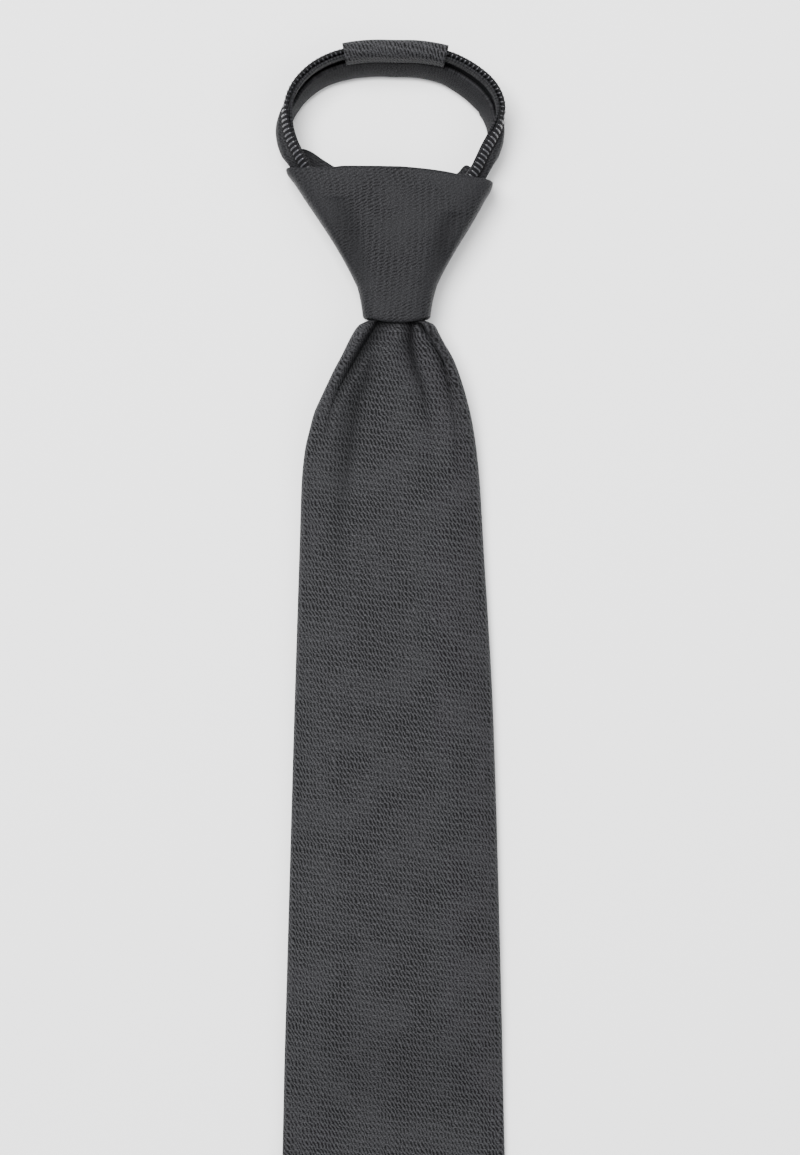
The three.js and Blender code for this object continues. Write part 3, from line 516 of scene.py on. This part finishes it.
def pleat_depth(y, x):
    dip = np.zeros(len(x))
    for name, line in PLEATS.items():
        middle, depth = value_at(line, "x", y), value_at(line, "depth", y)
        before, after = PLEAT_WIDTH[name]
        away = np.abs(x - middle) / np.where(x < middle, before, after)
        dip = np.maximum(dip, depth * np.exp(-PLEAT_FALL * away**PLEAT_POWER))
    return dip


def blade_line(y, left, right):
    back, thick, droop = (value_at(BLADE, name, y) for name in ("back", "thick", "droop"))
    half = CLOTH / 2
    centre = (left + right) / 2
    reach = (right - left) / 2
    seam = min(max((reach - SEAM_START) * SEAM_SHARE, SEAM_LEAST), SEAM_HALF)
    roll = thick / 2 - half
    low, high = back + half, back + thick - half
    x0, x1 = left + half + roll, right - half - roll
    even = np.linspace(x0, x1, EVEN_POINTS)
    dip = pleat_depth(y, even)
    share = np.cumsum(1 + SLOPE_CROWDING * np.abs(np.gradient(dip, even)))
    front_x = np.interp(np.linspace(share[0], share[-1], FRONT_POINTS), share, even)
    crown = CROWN * np.sin(np.linspace(0, math.pi, FRONT_POINTS)) ** 0.5
    front_z = high - CROWN + crown - np.interp(front_x, even, dip)
    angles = np.radians(np.linspace(-90, 90, ROLL_POINTS + 2)[1:-1])
    rise = (high - low) / 2
    right_roll = np.stack([x1 + roll * np.cos(angles), low + rise + rise * np.sin(angles)], axis=1)
    left_roll = np.stack([x0 - roll * np.cos(angles), low + rise + rise * np.sin(angles)], axis=1)[::-1]
    step = CLOTH + GAP
    foot = max(centre - seam - CLIMB_FROM, x0 + 0.5)
    flap_right = np.stack([np.linspace(centre - seam, x1, FLAP_POINTS), np.full(FLAP_POINTS, low)], axis=1)
    bend = smooth([[x0, low], [(x0 + foot) / 2, low], [foot, low], [centre - seam - CLIMB_TO, low + step],
                   [centre, low + step], [centre + seam, low + step]], BEND_POINTS)
    line = np.vstack([flap_right, right_roll, np.stack([front_x, front_z], axis=1)[::-1], left_roll, bend])
    beyond = (np.abs(line[:, 0] - centre) - DROOP_START) / max(reach - DROOP_START, 1)
    line[:, 1] -= droop * np.clip(beyond, 0, DROOP_LIMIT) ** DROOP_POWER
    return line


# %% [markdown]
# Sections stand closer together where the blade is pleated. Towards the tip they follow its two slanted
# edges, and over the last 8 mm they shrink to a point. The layers keep most of their height there, so the tip
# stays a thick corner of cloth that doesn't sink to the floor.

# %% Make the blade
TIP_FALL = 0.3
TIP_HALF = 8
TIP_HALVES = (31, 27, 23, 19, 15, 11, TIP_HALF)
TIP_SIZES = (0.75, 0.5, 0.25, 0.04)
PLEATED_ROWS = np.linspace(-31, -100, 110)
FLAT_ROWS = np.linspace(-103, SHOULDER_Y, 70)


def blade_stations():
    stations = [(y, value_at(BLADE, "left", y), value_at(BLADE, "right", y), 1.0)
                for y in np.concatenate([PLEATED_ROWS, FLAT_ROWS])]
    left, right = stations[-1][1:3]
    centre, reach = (left + right) / 2, (right - left) / 2
    slope = reach / (SHOULDER_Y - TIP_Y)
    for half in TIP_HALVES:
        stations.append((TIP_Y + half / slope, centre - half, centre + half, 1.0))
    for size in TIP_SIZES:
        stations.append((TIP_Y + TIP_HALF * size / slope, centre - TIP_HALF, centre + TIP_HALF, size))
    return stations


def make_blade():
    rings, acrosses, alongs, creases = [], [], [], []
    for y, left, right, size in blade_stations():
        points, across = outline(blade_line(y, left, right), CLOTH / 2)
        centre = (left + right) / 2
        x = centre + (points[:, 0] - centre) * size
        rings.append(np.stack([x, np.full(len(x), y), points[:, 1] * size**TIP_FALL], axis=1))
        acrosses.append((across.max() / 2 - across) * size)
        alongs.append(y)
        # Painted shade for the pleats: "crease" grows with a point's depth in a pleat and is full at
        # DEEP_PLEAT mm.
        creases.append(np.clip(pleat_depth(y, x) / DEEP_PLEAT, 0, 1))
    widths = np.ptp(acrosses, axis=1)
    size = (widths.max(), alongs[0] - alongs[-1], -np.trapz(widths, alongs))
    return skin("blade_cloth", rings, acrosses, alongs, BLADE_CLOTH, crease=creases), size


blade, blade_size = make_blade()
hand_over(blade, "blade")
lay_flat(blade, *blade_size)

# %% [markdown]
# The knot is a wrap of the same cloth round the blade, with the weave lying across instead of down. It is a
# tube, open at the top and the bottom: flat across the front with a shallow flute down each side, rounded at
# its sides and flat behind. Both rims are folded edges. The back layer stands up a little on each side of the
# mouth. Each flute is given by its two ends and its width.

# %% The knot's shape
KNOT_FRONT_WALL = 2.0
KNOT_BACK_WALL = 1.4
KNOT_SIDE_WALL = 1.4
KNOT_FRONT_POWER = 4.0
KNOT_BACK_POWER = 6.0
FLUTE_DEPTH = 1.8
FLUTE_SHADE = 0.45
FLUTE_FADE = 0.6
ZIP_X = 1.8
MOUTH_HALF = 27.75
BOTTOM_HALF = 8.5
BACK_BOTTOM_Y = -39.8

KNOT_SIDES = table(
    ["y", "left", "right", "height"],
    [6, -27.8, 27.7, 16.2],
    [-1, -27.8, 27.7, 16.2],
    [-4.6, -25.5, 27.6, 16.4],
    [-9.5, -22.3, 25.2, 16.4],
    [-16, -17.9, 21.5, 16.3],
    [-22.7, -13.7, 17.4, 16.1],
    [-29.6, -10.0, 13.6, 15.8],
    [-32.5, -8.7, 12.4, 15.6],
    [-37.8, -7.6, 11.2, 15.4],
    [-43, -7.0, 10.6, 15.3],
)
MOUTH_FRONT = table(["x", "y"], [-27.8, -1.5], [-23.9, -1.9], [-15.6, -1.9], [-11.9, -1.6], [1.4, -1.7],
                    [8.0, -2.2], [14.7, -3.1], [18.6, -3.9], [23.4, -4.6], [27.7, -5.1])
MOUTH_BACK = table(["x", "y"], [-27.8, -1.0], [-26.0, 1.8], [-24.2, 4.7], [-22.6, 4.3], [-18.6, 1.9],
                   [-15.9, 0.3], [-11, -2.0], [2, -3.0], [14, -3.2], [18.9, -1.7], [21.2, 0.4],
                   [22.4, -0.2], [25.2, -3.4], [27.7, -4.6])
KNOT_BOTTOM = table(["x", "y"], [-6.7, -39.8], [-3.8, -40.5], [-0.9, -41.1], [2.8, -41.3], [6.8, -40.8],
                    [10.3, -39.6])
FLUTES = ((-13.8, -9, -8.2, -33, 3.4), (17.0, -13, 12.2, -34, 2.8))

# %% Make the knot
AROUND = 220
LEVELS = 100


def knot_surface(inside):
    turn = (TURN * (np.arange(AROUND) + 0.5)) / AROUND - math.pi / 2
    front = np.sin(turn) > 0
    power = 2 / np.where(front, KNOT_FRONT_POWER, KNOT_BACK_POWER)
    across = np.sign(np.cos(turn)) * np.abs(np.cos(turn)) ** power
    up = np.sign(np.sin(turn)) * np.abs(np.sin(turn)) ** power
    top = np.where(front, between(MOUTH_FRONT["x"], MOUTH_FRONT["y"], across * MOUTH_HALF),
                   between(MOUTH_BACK["x"], MOUTH_BACK["y"], across * MOUTH_HALF))
    front_low = between(KNOT_BOTTOM["x"], KNOT_BOTTOM["y"], ZIP_X + across * BOTTOM_HALF)
    low = np.where(front, front_low, BACK_BOTTOM_Y)
    level = np.linspace(0, 1, LEVELS)[:, None]
    y = top + (low - top) * level
    left, right, height = (between(KNOT_SIDES["y"], KNOT_SIDES[k], y.ravel()).reshape(y.shape)
                           for k in ("left", "right", "height"))
    half = (right - left) / 2 - (KNOT_SIDE_WALL if inside else 0)
    floor = KNOT_BACK_WALL if inside else 0
    roof = height - (KNOT_FRONT_WALL if inside else 0)
    x = (left + right) / 2 + across * half
    z = (floor + roof) / 2 + up * (roof - floor) / 2
    crease = np.zeros(z.shape)
    if not inside:
        for x0, y0, x1, y1, width in FLUTES:
            share = np.clip((y - y0) / (y1 - y0), 0, 1)
            fade = np.sin(math.pi * share) ** FLUTE_FADE
            away = (x - (x0 + (x1 - x0) * share)) / width
            crease += np.where(front, fade * up * np.exp(-away**2), 0)
    # The flutes also get painted shade: FLUTE_SHADE times the flute's share is returned as the value
    # "crease".
    return np.stack([x, y, z - FLUTE_DEPTH * crease], axis=2), FLUTE_SHADE * crease


def rim(outer, inner, beyond, count=7):
    turn = np.linspace(0, math.pi, count + 2)[1:-1, None, None]
    middle = (outer + inner) / 2
    way = outer - beyond
    way /= np.linalg.norm(way, axis=1)[:, None]
    half = np.linalg.norm(outer - inner, axis=1)[:, None] / 2
    return middle + (outer - middle) * np.cos(turn) + way * half * np.sin(turn)


def girth(surface):
    closed = np.concatenate([surface, surface[:, :1]], axis=1)
    far = np.cumsum(np.linalg.norm(np.diff(closed, axis=1), axis=2), axis=1)
    far = np.concatenate([np.zeros((len(far), 1)), far], axis=1)
    return far - far[:, AROUND // 2][:, None]


def make_knot():
    (outer, shade), (inner, _) = knot_surface(False), knot_surface(True)
    low, high = rim(outer[-1], inner[-1], outer[-2]), rim(inner[0], outer[0], inner[1])
    loop = np.vstack([outer, low, inner[::-1], high])
    around = np.vstack([girth(outer), np.repeat(girth(outer)[-1:], len(low), axis=0), girth(inner)[::-1],
                        np.repeat(girth(outer)[:1], len(high), axis=0)])
    crease = np.zeros(loop.shape[:2])
    crease[:LEVELS] = shade
    girths = np.ptp(girth(outer), axis=1)
    heights = np.abs(outer[0, :, 1] - outer[-1, :, 1])
    size = (girths.max(), heights.max(), girths.mean() * heights.mean())
    return skin("knot_cloth", loop.transpose(1, 0, 2), loop[:, :, 1].T, around.T, KNOT_CLOTH, closed=True,
                crease=crease.T), size


knot, knot_size = make_knot()
hand_over(knot, "knot")
lay_flat(knot, *knot_size)

# %% [markdown]
# Each band of the loop is a strip of cloth bound round one zip tape. Its outer leg covers the tape up to the
# teeth, it folds over at its foot, and a shorter leg comes back up inside with a rolled free edge. The band
# stands on edge round the back of the loop, leans in under its teeth there, and turns over so that the teeth
# face up where it enters the knot. Inside, it runs on as the closed zip and lies flat behind the blade. A row
# holds a point of the coil's line, the slopes of the tape's edge and of the legs in degrees, where the turn
# between them starts and ends, the band's width, how puffed it is, and how high its foot stands.

# %% Places along the bands
BAND_WALL = 1.1
TAPE = 0.76
COIL_WIDTH = 2.6
COIL_HEIGHT = 1.5
TAPE_SETBACK = 0.6
TAPE_LEVEL = -(COIL_HEIGHT / 2 + GAP + TAPE / 2)
BAND_WIDTH = 13
LEG_LEVEL = -0.95
LEG_GAP = 0.4
PUFF = 0.85
LIP_DROP = 0.25
FOLD_START = 3.3

BAND_COLUMNS = ["x", "y", "edge", "leg", "from", "to", "width", "puff", "foot"]
LEFT_BAND = table(
    BAND_COLUMNS,
    [1.95, 30.9, -100, -103, 2, 6.01, 13, 1.2, 0],
    [-4.81, 31, -100, -103, 2, 6.01, 13, 1.2, 0],
    [-11.89, 30.19, -100, -103, 2, 6.01, 13, 1.2, 0],
    [-16.59, 28.71, -99, -102, 2, 6.01, 13, 1.1, 0],
    [-20.59, 26.5, -97, -100, 2, 6.01, 13, 1, 0],
    [-24.12, 23.31, -94, -97, 2, 6.01, 13, 1, 0],
    [-26.39, 20, -90, -94, 2, 6.01, 13, 0.9, 0],
    [-27.49, 16.89, -82, -92, 2, 6.01, 13, 0.8, 0],
    [-27.89, 13.61, -66, -91, 2, 5.69, 12.9, 0.8, 0.1],
    [-27.6, 10.51, -50, -91, 2, 5.6, 12.51, 0.8, 0.5],
    [-26.79, 7.41, -40, -92, 2, 5.39, 11.8, 0.8, 1.2],
    [-25.57, 4.59, -33, -96, 2, 5.2, 10.89, 0.8, 2.1],
    [-24.12, 1.89, -28, -107, 1.5, 4.3, 10, 0.8, 2.66],
    [-22.18, -1.19, -24, -114, 1.4, 4, 9.2, 0.8, 2.3],
    [-17.58, -7.22, -22, -116, 1.4, 3.8, 8.61, 0.6, 2.1],
    [-13.19, -13, -20, -106, 1.4, 3.8, 7.81, 0.5, 2.1],
    [-8.97, -18.82, -15, -84, 1.6, 4, 6.81, 0.3, 2.2],
    [-5.31, -23.78, -8, -44, 1.79, 4, 5.5, 0.1, 2.2],
    [-2.59, -28, 0, -14, 2, 4, 4.91, 0, 2.1],
    [-0.48, -31.41, 0, 0, 2, 4, 4.71, 0, 2],
    [0.29, -34.19, 0, 0, 2, 4, 4.71, 0, 2],
    [0.35, -41.98, 0, 0, 2, 4, 4.71, 0, 2],
    [0.35, -48.13, 0, 0, 2, 4, 6.4, 0, 1.7],
    [0.35, -59.96, 0, 0, 2, 4, 11, 0, 0.4],
    [0.35, -76.04, 0, 0, 2, 4, 13, 0, 0],
    [0.35, -227.87, 0, 0, 2, 4, 13, 0, 0],
)
RIGHT_BAND = table(
    BAND_COLUMNS,
    [1.65, 30.91, -100, -103, 2, 6.01, 13, 1.2, 0],
    [8.01, 30.81, -101, -104, 2, 6.01, 13, 1.2, 0],
    [15.37, 29.51, -103, -106, 2, 6.01, 13, 1.2, 0],
    [19.37, 27.9, -105, -108, 2, 6.01, 13, 1.2, 0],
    [23.32, 25.51, -106, -109, 2, 6.01, 13, 1.2, 0],
    [26.68, 22.69, -106, -109, 2, 6.01, 13, 1.2, 0],
    [28.88, 19.68, -104, -108, 2, 6.01, 13, 1.1, 0],
    [29.99, 16.59, -99, -106, 2, 6.01, 13, 1, 0],
    [30.1, 13.48, -90, -108, 2, 5.69, 12.9, 0.9, 0.1],
    [29.17, 10.2, -66, -106, 2, 5.6, 12.51, 0.8, 0.4],
    [27.61, 7.28, -46, -100, 2, 5.39, 11.8, 0.8, 1],
    [25.93, 4.5, -36, -96, 2, 5.2, 10.89, 0.8, 1.8],
    [24.48, 1.61, -30, -106, 1.6, 4.5, 10, 0.8, 2.3],
    [22.79, -1.6, -26, -113, 1.4, 4, 9.4, 0.8, 2.1],
    [20.29, -5.41, -24, -116, 1.4, 3.8, 8.81, 0.7, 2.1],
    [16.51, -11.4, -20, -110, 1.4, 3.8, 8.01, 0.5, 2.1],
    [12.8, -17.22, -15, -90, 1.6, 4, 6.99, 0.3, 2.2],
    [9.3, -22.59, -8, -50, 1.79, 4, 5.69, 0.1, 2.2],
    [6.3, -27.59, 0, -14, 2, 4, 4.91, 0, 2.1],
    [4.08, -31.41, 0, 0, 2, 4, 4.71, 0, 2],
    [3.31, -34.19, 0, 0, 2, 4, 4.71, 0, 2],
    [3.25, -41.98, 0, 0, 2, 4, 4.71, 0, 2],
    [3.25, -48.13, 0, 0, 2, 4, 6.4, 0, 1.7],
    [3.25, -59.96, 0, 0, 2, 4, 11, 0, 0.4],
    [3.25, -76.04, 0, 0, 2, 4, 13, 0, 0],
    [3.25, -227.87, 0, 0, 2, 4, 13, 0, 0],
)

# %% [markdown]
# The coil's line is a centripetal curve through the table's points: it doesn't bulge where the points lie
# unevenly. `zip_path` samples it closely and reads every column at the same places.

# %% The line of a band
DENSE_POINTS = 4000


def centripetal(points, place):
    i = int(min(place, len(points) - 1 - 1e-9))
    t = place - i
    p1, p2 = points[i], points[i + 1]
    p0 = points[i - 1] if i > 0 else 2 * p1 - p2
    p3 = points[i + 2] if i + 2 < len(points) else 2 * p2 - p1
    d0, d1, d2 = (max(np.linalg.norm(b - a) ** 0.5, 1e-4) for a, b in ((p0, p1), (p1, p2), (p2, p3)))
    m1 = ((p1 - p0) / d0 - (p2 - p0) / (d0 + d1) + (p2 - p1) / d1) * d1
    m2 = ((p2 - p1) / d1 - (p3 - p1) / (d1 + d2) + (p3 - p2) / d2) * d1
    c2 = -3 * p1 + 3 * p2 - 2 * m1 - m2
    c3 = 2 * p1 - 2 * p2 + m1 + m2
    return p1 + m1 * t + c2 * t * t + c3 * t**3, m1 + 2 * c2 * t + 3 * c3 * t * t


def zip_path(rows, side, spacing):
    points = np.stack([rows["x"], rows["y"]], axis=1)
    dense = np.linspace(0, len(points) - 1, DENSE_POINTS)
    spots = np.array([centripetal(points, p)[0] for p in dense])
    far = np.concatenate([[0], np.cumsum(np.linalg.norm(np.diff(spots, axis=0), axis=1))])
    count = int(far[-1] / spacing) + 1
    places = np.interp(np.linspace(0, far[-1], count), far, dense)
    index = np.arange(len(points), dtype=float)
    path = {k: between(index, rows[k], places) for k in BAND_COLUMNS[2:]}
    both = [centripetal(points, p) for p in places]
    path["spot"] = np.array([spot for spot, _ in both])
    way = np.array([tangent for _, tangent in both])
    way /= np.linalg.norm(way, axis=1)[:, None]
    path["out"] = np.stack([side * way[:, 1], -side * way[:, 0]], axis=1)
    path["far"] = np.linspace(0, far[-1], count)
    return path


# %% [markdown]
# A section is drawn flat first, with a along the tape from the middle of the teeth and b up to the face the
# teeth sit on. `turned` then bends it: the tape edge keeps one slope, the legs another, with a round turn
# between.

# %% The section of a band
TAPE_FLAT = 1.4
LEG_RAMP = 2.3
LEG_FROM = 3
LEG_EVEN = 3.8
LEG_SHARE = 0.41
FOLD_ROUND = 1.1
FOLD_ANGLES = (60, 25, -10, -45)
EDGE_SWELL = 0.1
LEAST_SPREAD = 1e-6


def turned(edge, leg, start, finish, points):
    a, b = points[:, 0], points[:, 1] - TAPE_LEVEL
    first, second = math.radians(edge), math.radians(leg)
    spread = second - first
    if abs(spread) < LEAST_SPREAD:
        spread = LEAST_SPREAD
    radius = (finish - start) / spread
    angle = first + spread * np.clip((a - start) / (finish - start), 0, 1)
    x = np.minimum(a, start) * math.cos(first) + radius * (np.sin(angle) - math.sin(first))
    z = np.minimum(a, start) * math.sin(first) + radius * (math.cos(first) - np.cos(angle))
    past = np.maximum(a - finish, 0)
    x = x + past * math.cos(second) - b * np.sin(angle) - TAPE_LEVEL * math.sin(first)
    z = z + past * math.sin(second) + b * np.cos(angle) + TAPE_LEVEL * math.cos(first)
    return np.stack([x, z], axis=1)


def band_line(width, puff, count=64):
    half = BAND_WALL / 2
    over = LEG_LEVEL + PUFF * min(puff, 1)
    under = LEG_LEVEL - BAND_WALL - LEG_GAP - PUFF * puff
    lip = over - BAND_WALL - LEG_GAP - LIP_DROP * puff
    bend, middle = (over - under) / 2, (over + under) / 2
    reach = width - half
    turn = max(reach - bend * FOLD_ROUND, FOLD_START)
    free = min(min(max(width * LEG_SHARE, COIL_WIDTH), BAND_WIDTH * LEG_SHARE), turn - 0.7)
    arc = [[turn + (reach - turn) * math.cos(s), middle + bend * math.sin(s), half]
           for s in map(math.radians, FOLD_ANGLES)]
    line = [
        [TAPE_SETBACK - COIL_WIDTH / 2, TAPE_LEVEL, TAPE / 2],
        [TAPE_FLAT, TAPE_LEVEL, TAPE / 2],
        [LEG_RAMP, TAPE_LEVEL + (over - TAPE_LEVEL) * 0.55, TAPE / 2 + 0.08],
        [min(LEG_FROM, turn - 0.4), over, half],
        [min(LEG_EVEN, turn - 0.2), over, half],
        [max((LEG_EVEN + turn) / 2, turn - 0.1), over, half],
        *arc,
        [turn, under, half],
        [(turn + free) / 2, 0.7 * under + 0.3 * lip, half],
        [free, lip, half + EDGE_SWELL],
    ]
    return smooth(line, count)


def lay(path, k, flat):
    spot, out = path["spot"][k], path["out"][k]
    x, y = (spot[axis] + out[axis] * flat[:, 0] for axis in (0, 1))
    return np.stack([x, y, path["level"][k] + flat[:, 1]], axis=1)


def band_rings(path):
    flats, acrosses = [], []
    for k in range(len(path["far"])):
        line = band_line(path["width"][k], path["puff"][k])
        points, across = outline(line[:, :2], line[:, 2])
        shape = (path["edge"][k], path["leg"][k], path["from"][k], path["to"][k])
        flats.append(turned(*shape, points))
        acrosses.append(across)
    path["level"] = np.array([path["foot"][k] - flat[:, 1].min() for k, flat in enumerate(flats)])
    return [lay(path, k, flat) for k, flat in enumerate(flats)], acrosses


# %% Make the bands
BAND_STEP = 0.9
LEFT_PATH = zip_path(LEFT_BAND, 1, BAND_STEP)
RIGHT_PATH = zip_path(RIGHT_BAND, -1, BAND_STEP)
for side, path in (("left", LEFT_PATH), ("right", RIGHT_PATH)):
    rings, acrosses = band_rings(path)
    widths = np.ptp(acrosses, axis=1)
    band = skin(f"band_{side}_cloth", rings, acrosses, path["far"], BAND_CLOTH)
    hand_over(band, f"band_{side}")
    lay_flat(band, widths.max(), path["far"][-1], np.trapz(widths, path["far"]))

# %% [markdown]
# The zip's teeth are one nylon wire, 0.6 mm thick, wound into a flattened coil with a turn every 1.27 mm.
# Each turn goes straight out over the tape, rounds its head, and comes back underneath, and nearly all of the
# step to the next turn happens at the back. A tube swept along that line gives both layers and the round
# heads. A picture of teeth on a plain strip would lose the bright glints that the round wire gives. The flat
# cord inside the coil fills it up to the middle of the wire and stops short of the heads.

# %% The zip coil
PITCH = 1.27
WIRE = 0.6
WIRE_SIDES = 6
POINTS_PER_TURN = 20
STEP_AT_BACK = 0.8
HEAD_ROUND = 0.6
CORD_HALF = 0.5
CORD_FROM = -0.8


def tilted(a, b, angle):
    return a * np.cos(angle) - b * np.sin(angle), a * np.sin(angle) + b * np.cos(angle)


def coil_points(path):
    turns = path["far"][-1] / PITCH
    t = np.linspace(0, turns, int(turns * POINTS_PER_TURN) + 1)
    angle = TURN * t
    reach = (COIL_WIDTH - WIRE) / 2
    rise = (COIL_HEIGHT - WIRE) / 2
    a = -reach * np.sign(np.cos(angle)) * np.abs(np.cos(angle)) ** HEAD_ROUND
    b = rise * np.sign(np.sin(angle)) * np.abs(np.sin(angle)) ** HEAD_ROUND
    far = (t - STEP_AT_BACK * np.sin(angle) / TURN) * PITCH
    tilt = np.radians(np.interp(far, path["far"], path["edge"]))
    out = np.stack([np.interp(far, path["far"], path["out"][:, k]) for k in (0, 1)], axis=1)
    spot = np.stack([np.interp(far, path["far"], path["spot"][:, k]) for k in (0, 1)], axis=1)
    level = np.interp(far, path["far"], path["level"])
    x, z = tilted(a, b, tilt)
    return np.stack([spot[:, 0] + out[:, 0] * x, spot[:, 1] + out[:, 1] * x, level + z], axis=1)


def make_coil(side, path):
    points = coil_points(path)
    way = np.gradient(points, axis=0)
    way /= np.linalg.norm(way, axis=1)[:, None]
    course = np.gradient(np.stack([np.interp(np.linspace(0, path["far"][-1], len(points)), path["far"],
                                             path["spot"][:, k]) for k in (0, 1)], axis=1), axis=0)
    course = np.column_stack([course, np.zeros(len(course))])
    course /= np.linalg.norm(course, axis=1)[:, None]
    first = np.cross(way, course)
    first /= np.linalg.norm(first, axis=1)[:, None]
    second = np.cross(way, first)
    turn = TURN * np.arange(WIRE_SIDES) / WIRE_SIDES
    rings = (points[:, None, :] + WIRE / 2 * (np.cos(turn)[None, :, None] * first[:, None, :]
                                              + np.sin(turn)[None, :, None] * second[:, None, :]))
    across = np.arange(WIRE_SIDES) * WIRE / 2
    return skin(f"coil_{side}_wire", rings, across, np.linspace(0, 1, len(points)), NYLON)


def make_filler(side, path):
    points, across = outline([[CORD_FROM, 0], [0, 0], [COIL_WIDTH / 2 - WIRE / 2, 0]], CORD_HALF)
    rings = []
    for k in range(len(path["far"])):
        flat = np.stack(tilted(points[:, 0], points[:, 1], math.radians(path["edge"][k])), axis=1)
        rings.append(lay(path, k, flat))
    return skin(f"coil_{side}_cord", rings, across, path["far"], FILLER_CORD)


for side, path in (("left", LEFT_PATH), ("right", RIGHT_PATH)):
    hand_over(make_coil(side, path), f"coil_{side}")
    hand_over(make_filler(side, path), f"coil_{side}")

# %% [markdown]
# A folded sleeve of the tie's cloth covers the joint of the two bands at the back of the loop. It comes up
# the outer side, over the teeth, and goes a little way down inside, where it ends in a turned edge.

# %% The sleeve over the joint
SLEEVE_CLOTH = 1.0
SLEEVE_ENDS = (-12.3, 15.2)
SLEEVE_ROWS = 44
SLEEVE_POINTS = 60
SOFTENING = 6
LOOP_BACK_Y = 24
SLEEVE_LINE = [
    [9.49, 1.55], [6.63, 1.55], [3.51, 1.55], [-0.39, 1.55], [-1.56, 1.22], [-2.21, 0.39], [-2.34, -0.61],
    [-2.08, -1.61], [-1.3, -2.4], [0, -2.61], [1.43, -2.61], [2.6, -2.61],
]


def make_sleeve():
    keep_left = LEFT_PATH["spot"][:, 1] > LOOP_BACK_Y
    keep_right = RIGHT_PATH["spot"][:, 1] > LOOP_BACK_Y
    spots = np.vstack([LEFT_PATH["spot"][keep_left][::-1], RIGHT_PATH["spot"][keep_right]])
    levels = np.concatenate([LEFT_PATH["level"][keep_left][::-1], RIGHT_PATH["level"][keep_right]])
    x = np.linspace(*SLEEVE_ENDS, SLEEVE_ROWS)
    y = np.interp(x, spots[:, 0], spots[:, 1])
    for _ in range(SOFTENING):
        y[1:-1] = (y[:-2] + 2 * y[1:-1] + y[2:]) / 4
    level = np.interp(x, spots[:, 0], levels)
    way = np.stack([np.gradient(x), np.gradient(y)], axis=1)
    way /= np.linalg.norm(way, axis=1)[:, None]
    points, across = outline(smooth(SLEEVE_LINE, SLEEVE_POINTS), SLEEVE_CLOTH / 2)
    path = {
        "spot": np.stack([x, y], axis=1),
        "out": np.stack([-way[:, 1], way[:, 0]], axis=1),
        "level": level,
    }
    flat = turned(*(LEFT_BAND[name][0] for name in ("edge", "leg", "from", "to")), points)
    rings = [lay(path, k, flat) for k in range(len(x))]
    width, length = np.ptp(across), np.hypot(np.diff(x), np.diff(y)).sum()
    piece = skin("sleeve_cloth", rings, x[:, None], np.tile(-across, (len(x), 1)), BLADE_CLOTH)
    return piece, (width, length, width * length)


sleeve, sleeve_size = make_sleeve()
hand_over(sleeve, "neck_sleeve")
lay_flat(sleeve, *sleeve_size)

# %% [markdown]
# The floor is a large pale sheet, and the light is soft: one broad lamp high over the tie, a little to its
# upper left, a weaker one from the right, and an even pale surround. A lamp near the line of sight makes
# every turn of the coil glint and leaves the creases dark; the cloth's painted crease shade darkens them
# further. Lengths in this cell are metres.

# %% Floor and light
FLOOR_HALF = 4.0
FLOOR_LEVEL = -0.0002
LAMP_HEIGHT = 1.4
SURROUND = 0.6


def make_floor():
    mesh = bpy.data.meshes.new("floor")
    corners = [(x * FLOOR_HALF, y * FLOOR_HALF, FLOOR_LEVEL) for x, y in ((-1, -1), (1, -1), (1, 1), (-1, 1))]
    mesh.from_pydata(corners, [], [(0, 1, 2, 3)])
    material, tree = new_material("pale floor")
    shader = add(tree, "ShaderNodeBsdfPrincipled", {"Base Color": linear("#f8f8f8"), "Roughness": 0.9})
    add(tree, "ShaderNodeOutputMaterial", {"Surface": shader})
    mesh.materials.append(material)
    floor = bpy.data.objects.new("floor", mesh)
    bpy.context.collection.objects.link(floor)


def make_lamp(name, spot, size, power):
    data = bpy.data.lights.new(name, "AREA")
    data.shape = "RECTANGLE"
    data.size, data.size_y = size
    data.energy = power
    lamp = bpy.data.objects.new(name, data)
    bpy.context.collection.objects.link(lamp)
    lamp.location = spot
    aim = np.array([camera.location[0], camera.location[1], 0.0]) - np.array(spot)
    nod = math.atan2(math.hypot(aim[0], aim[1]), -aim[2])
    heading = math.atan2(aim[0], -aim[1]) + math.pi
    lamp.rotation_euler = (nod, 0, heading)


make_floor()
make_lamp("key lamp", spot=(-0.35, camera.location[1] + 0.45, LAMP_HEIGHT), size=(0.8, 0.8), power=60)
make_lamp("fill lamp", spot=(0.9, camera.location[1] - 0.1, LAMP_HEIGHT), size=(1.2, 1.2), power=14)
world = bpy.data.worlds.new("surround")
bpy.context.scene.world = world
world.use_nodes = True
background = world.node_tree.nodes["Background"]
background.inputs["Color"].default_value = linear("#f4f5f8")
background.inputs["Strength"].default_value = SURROUND
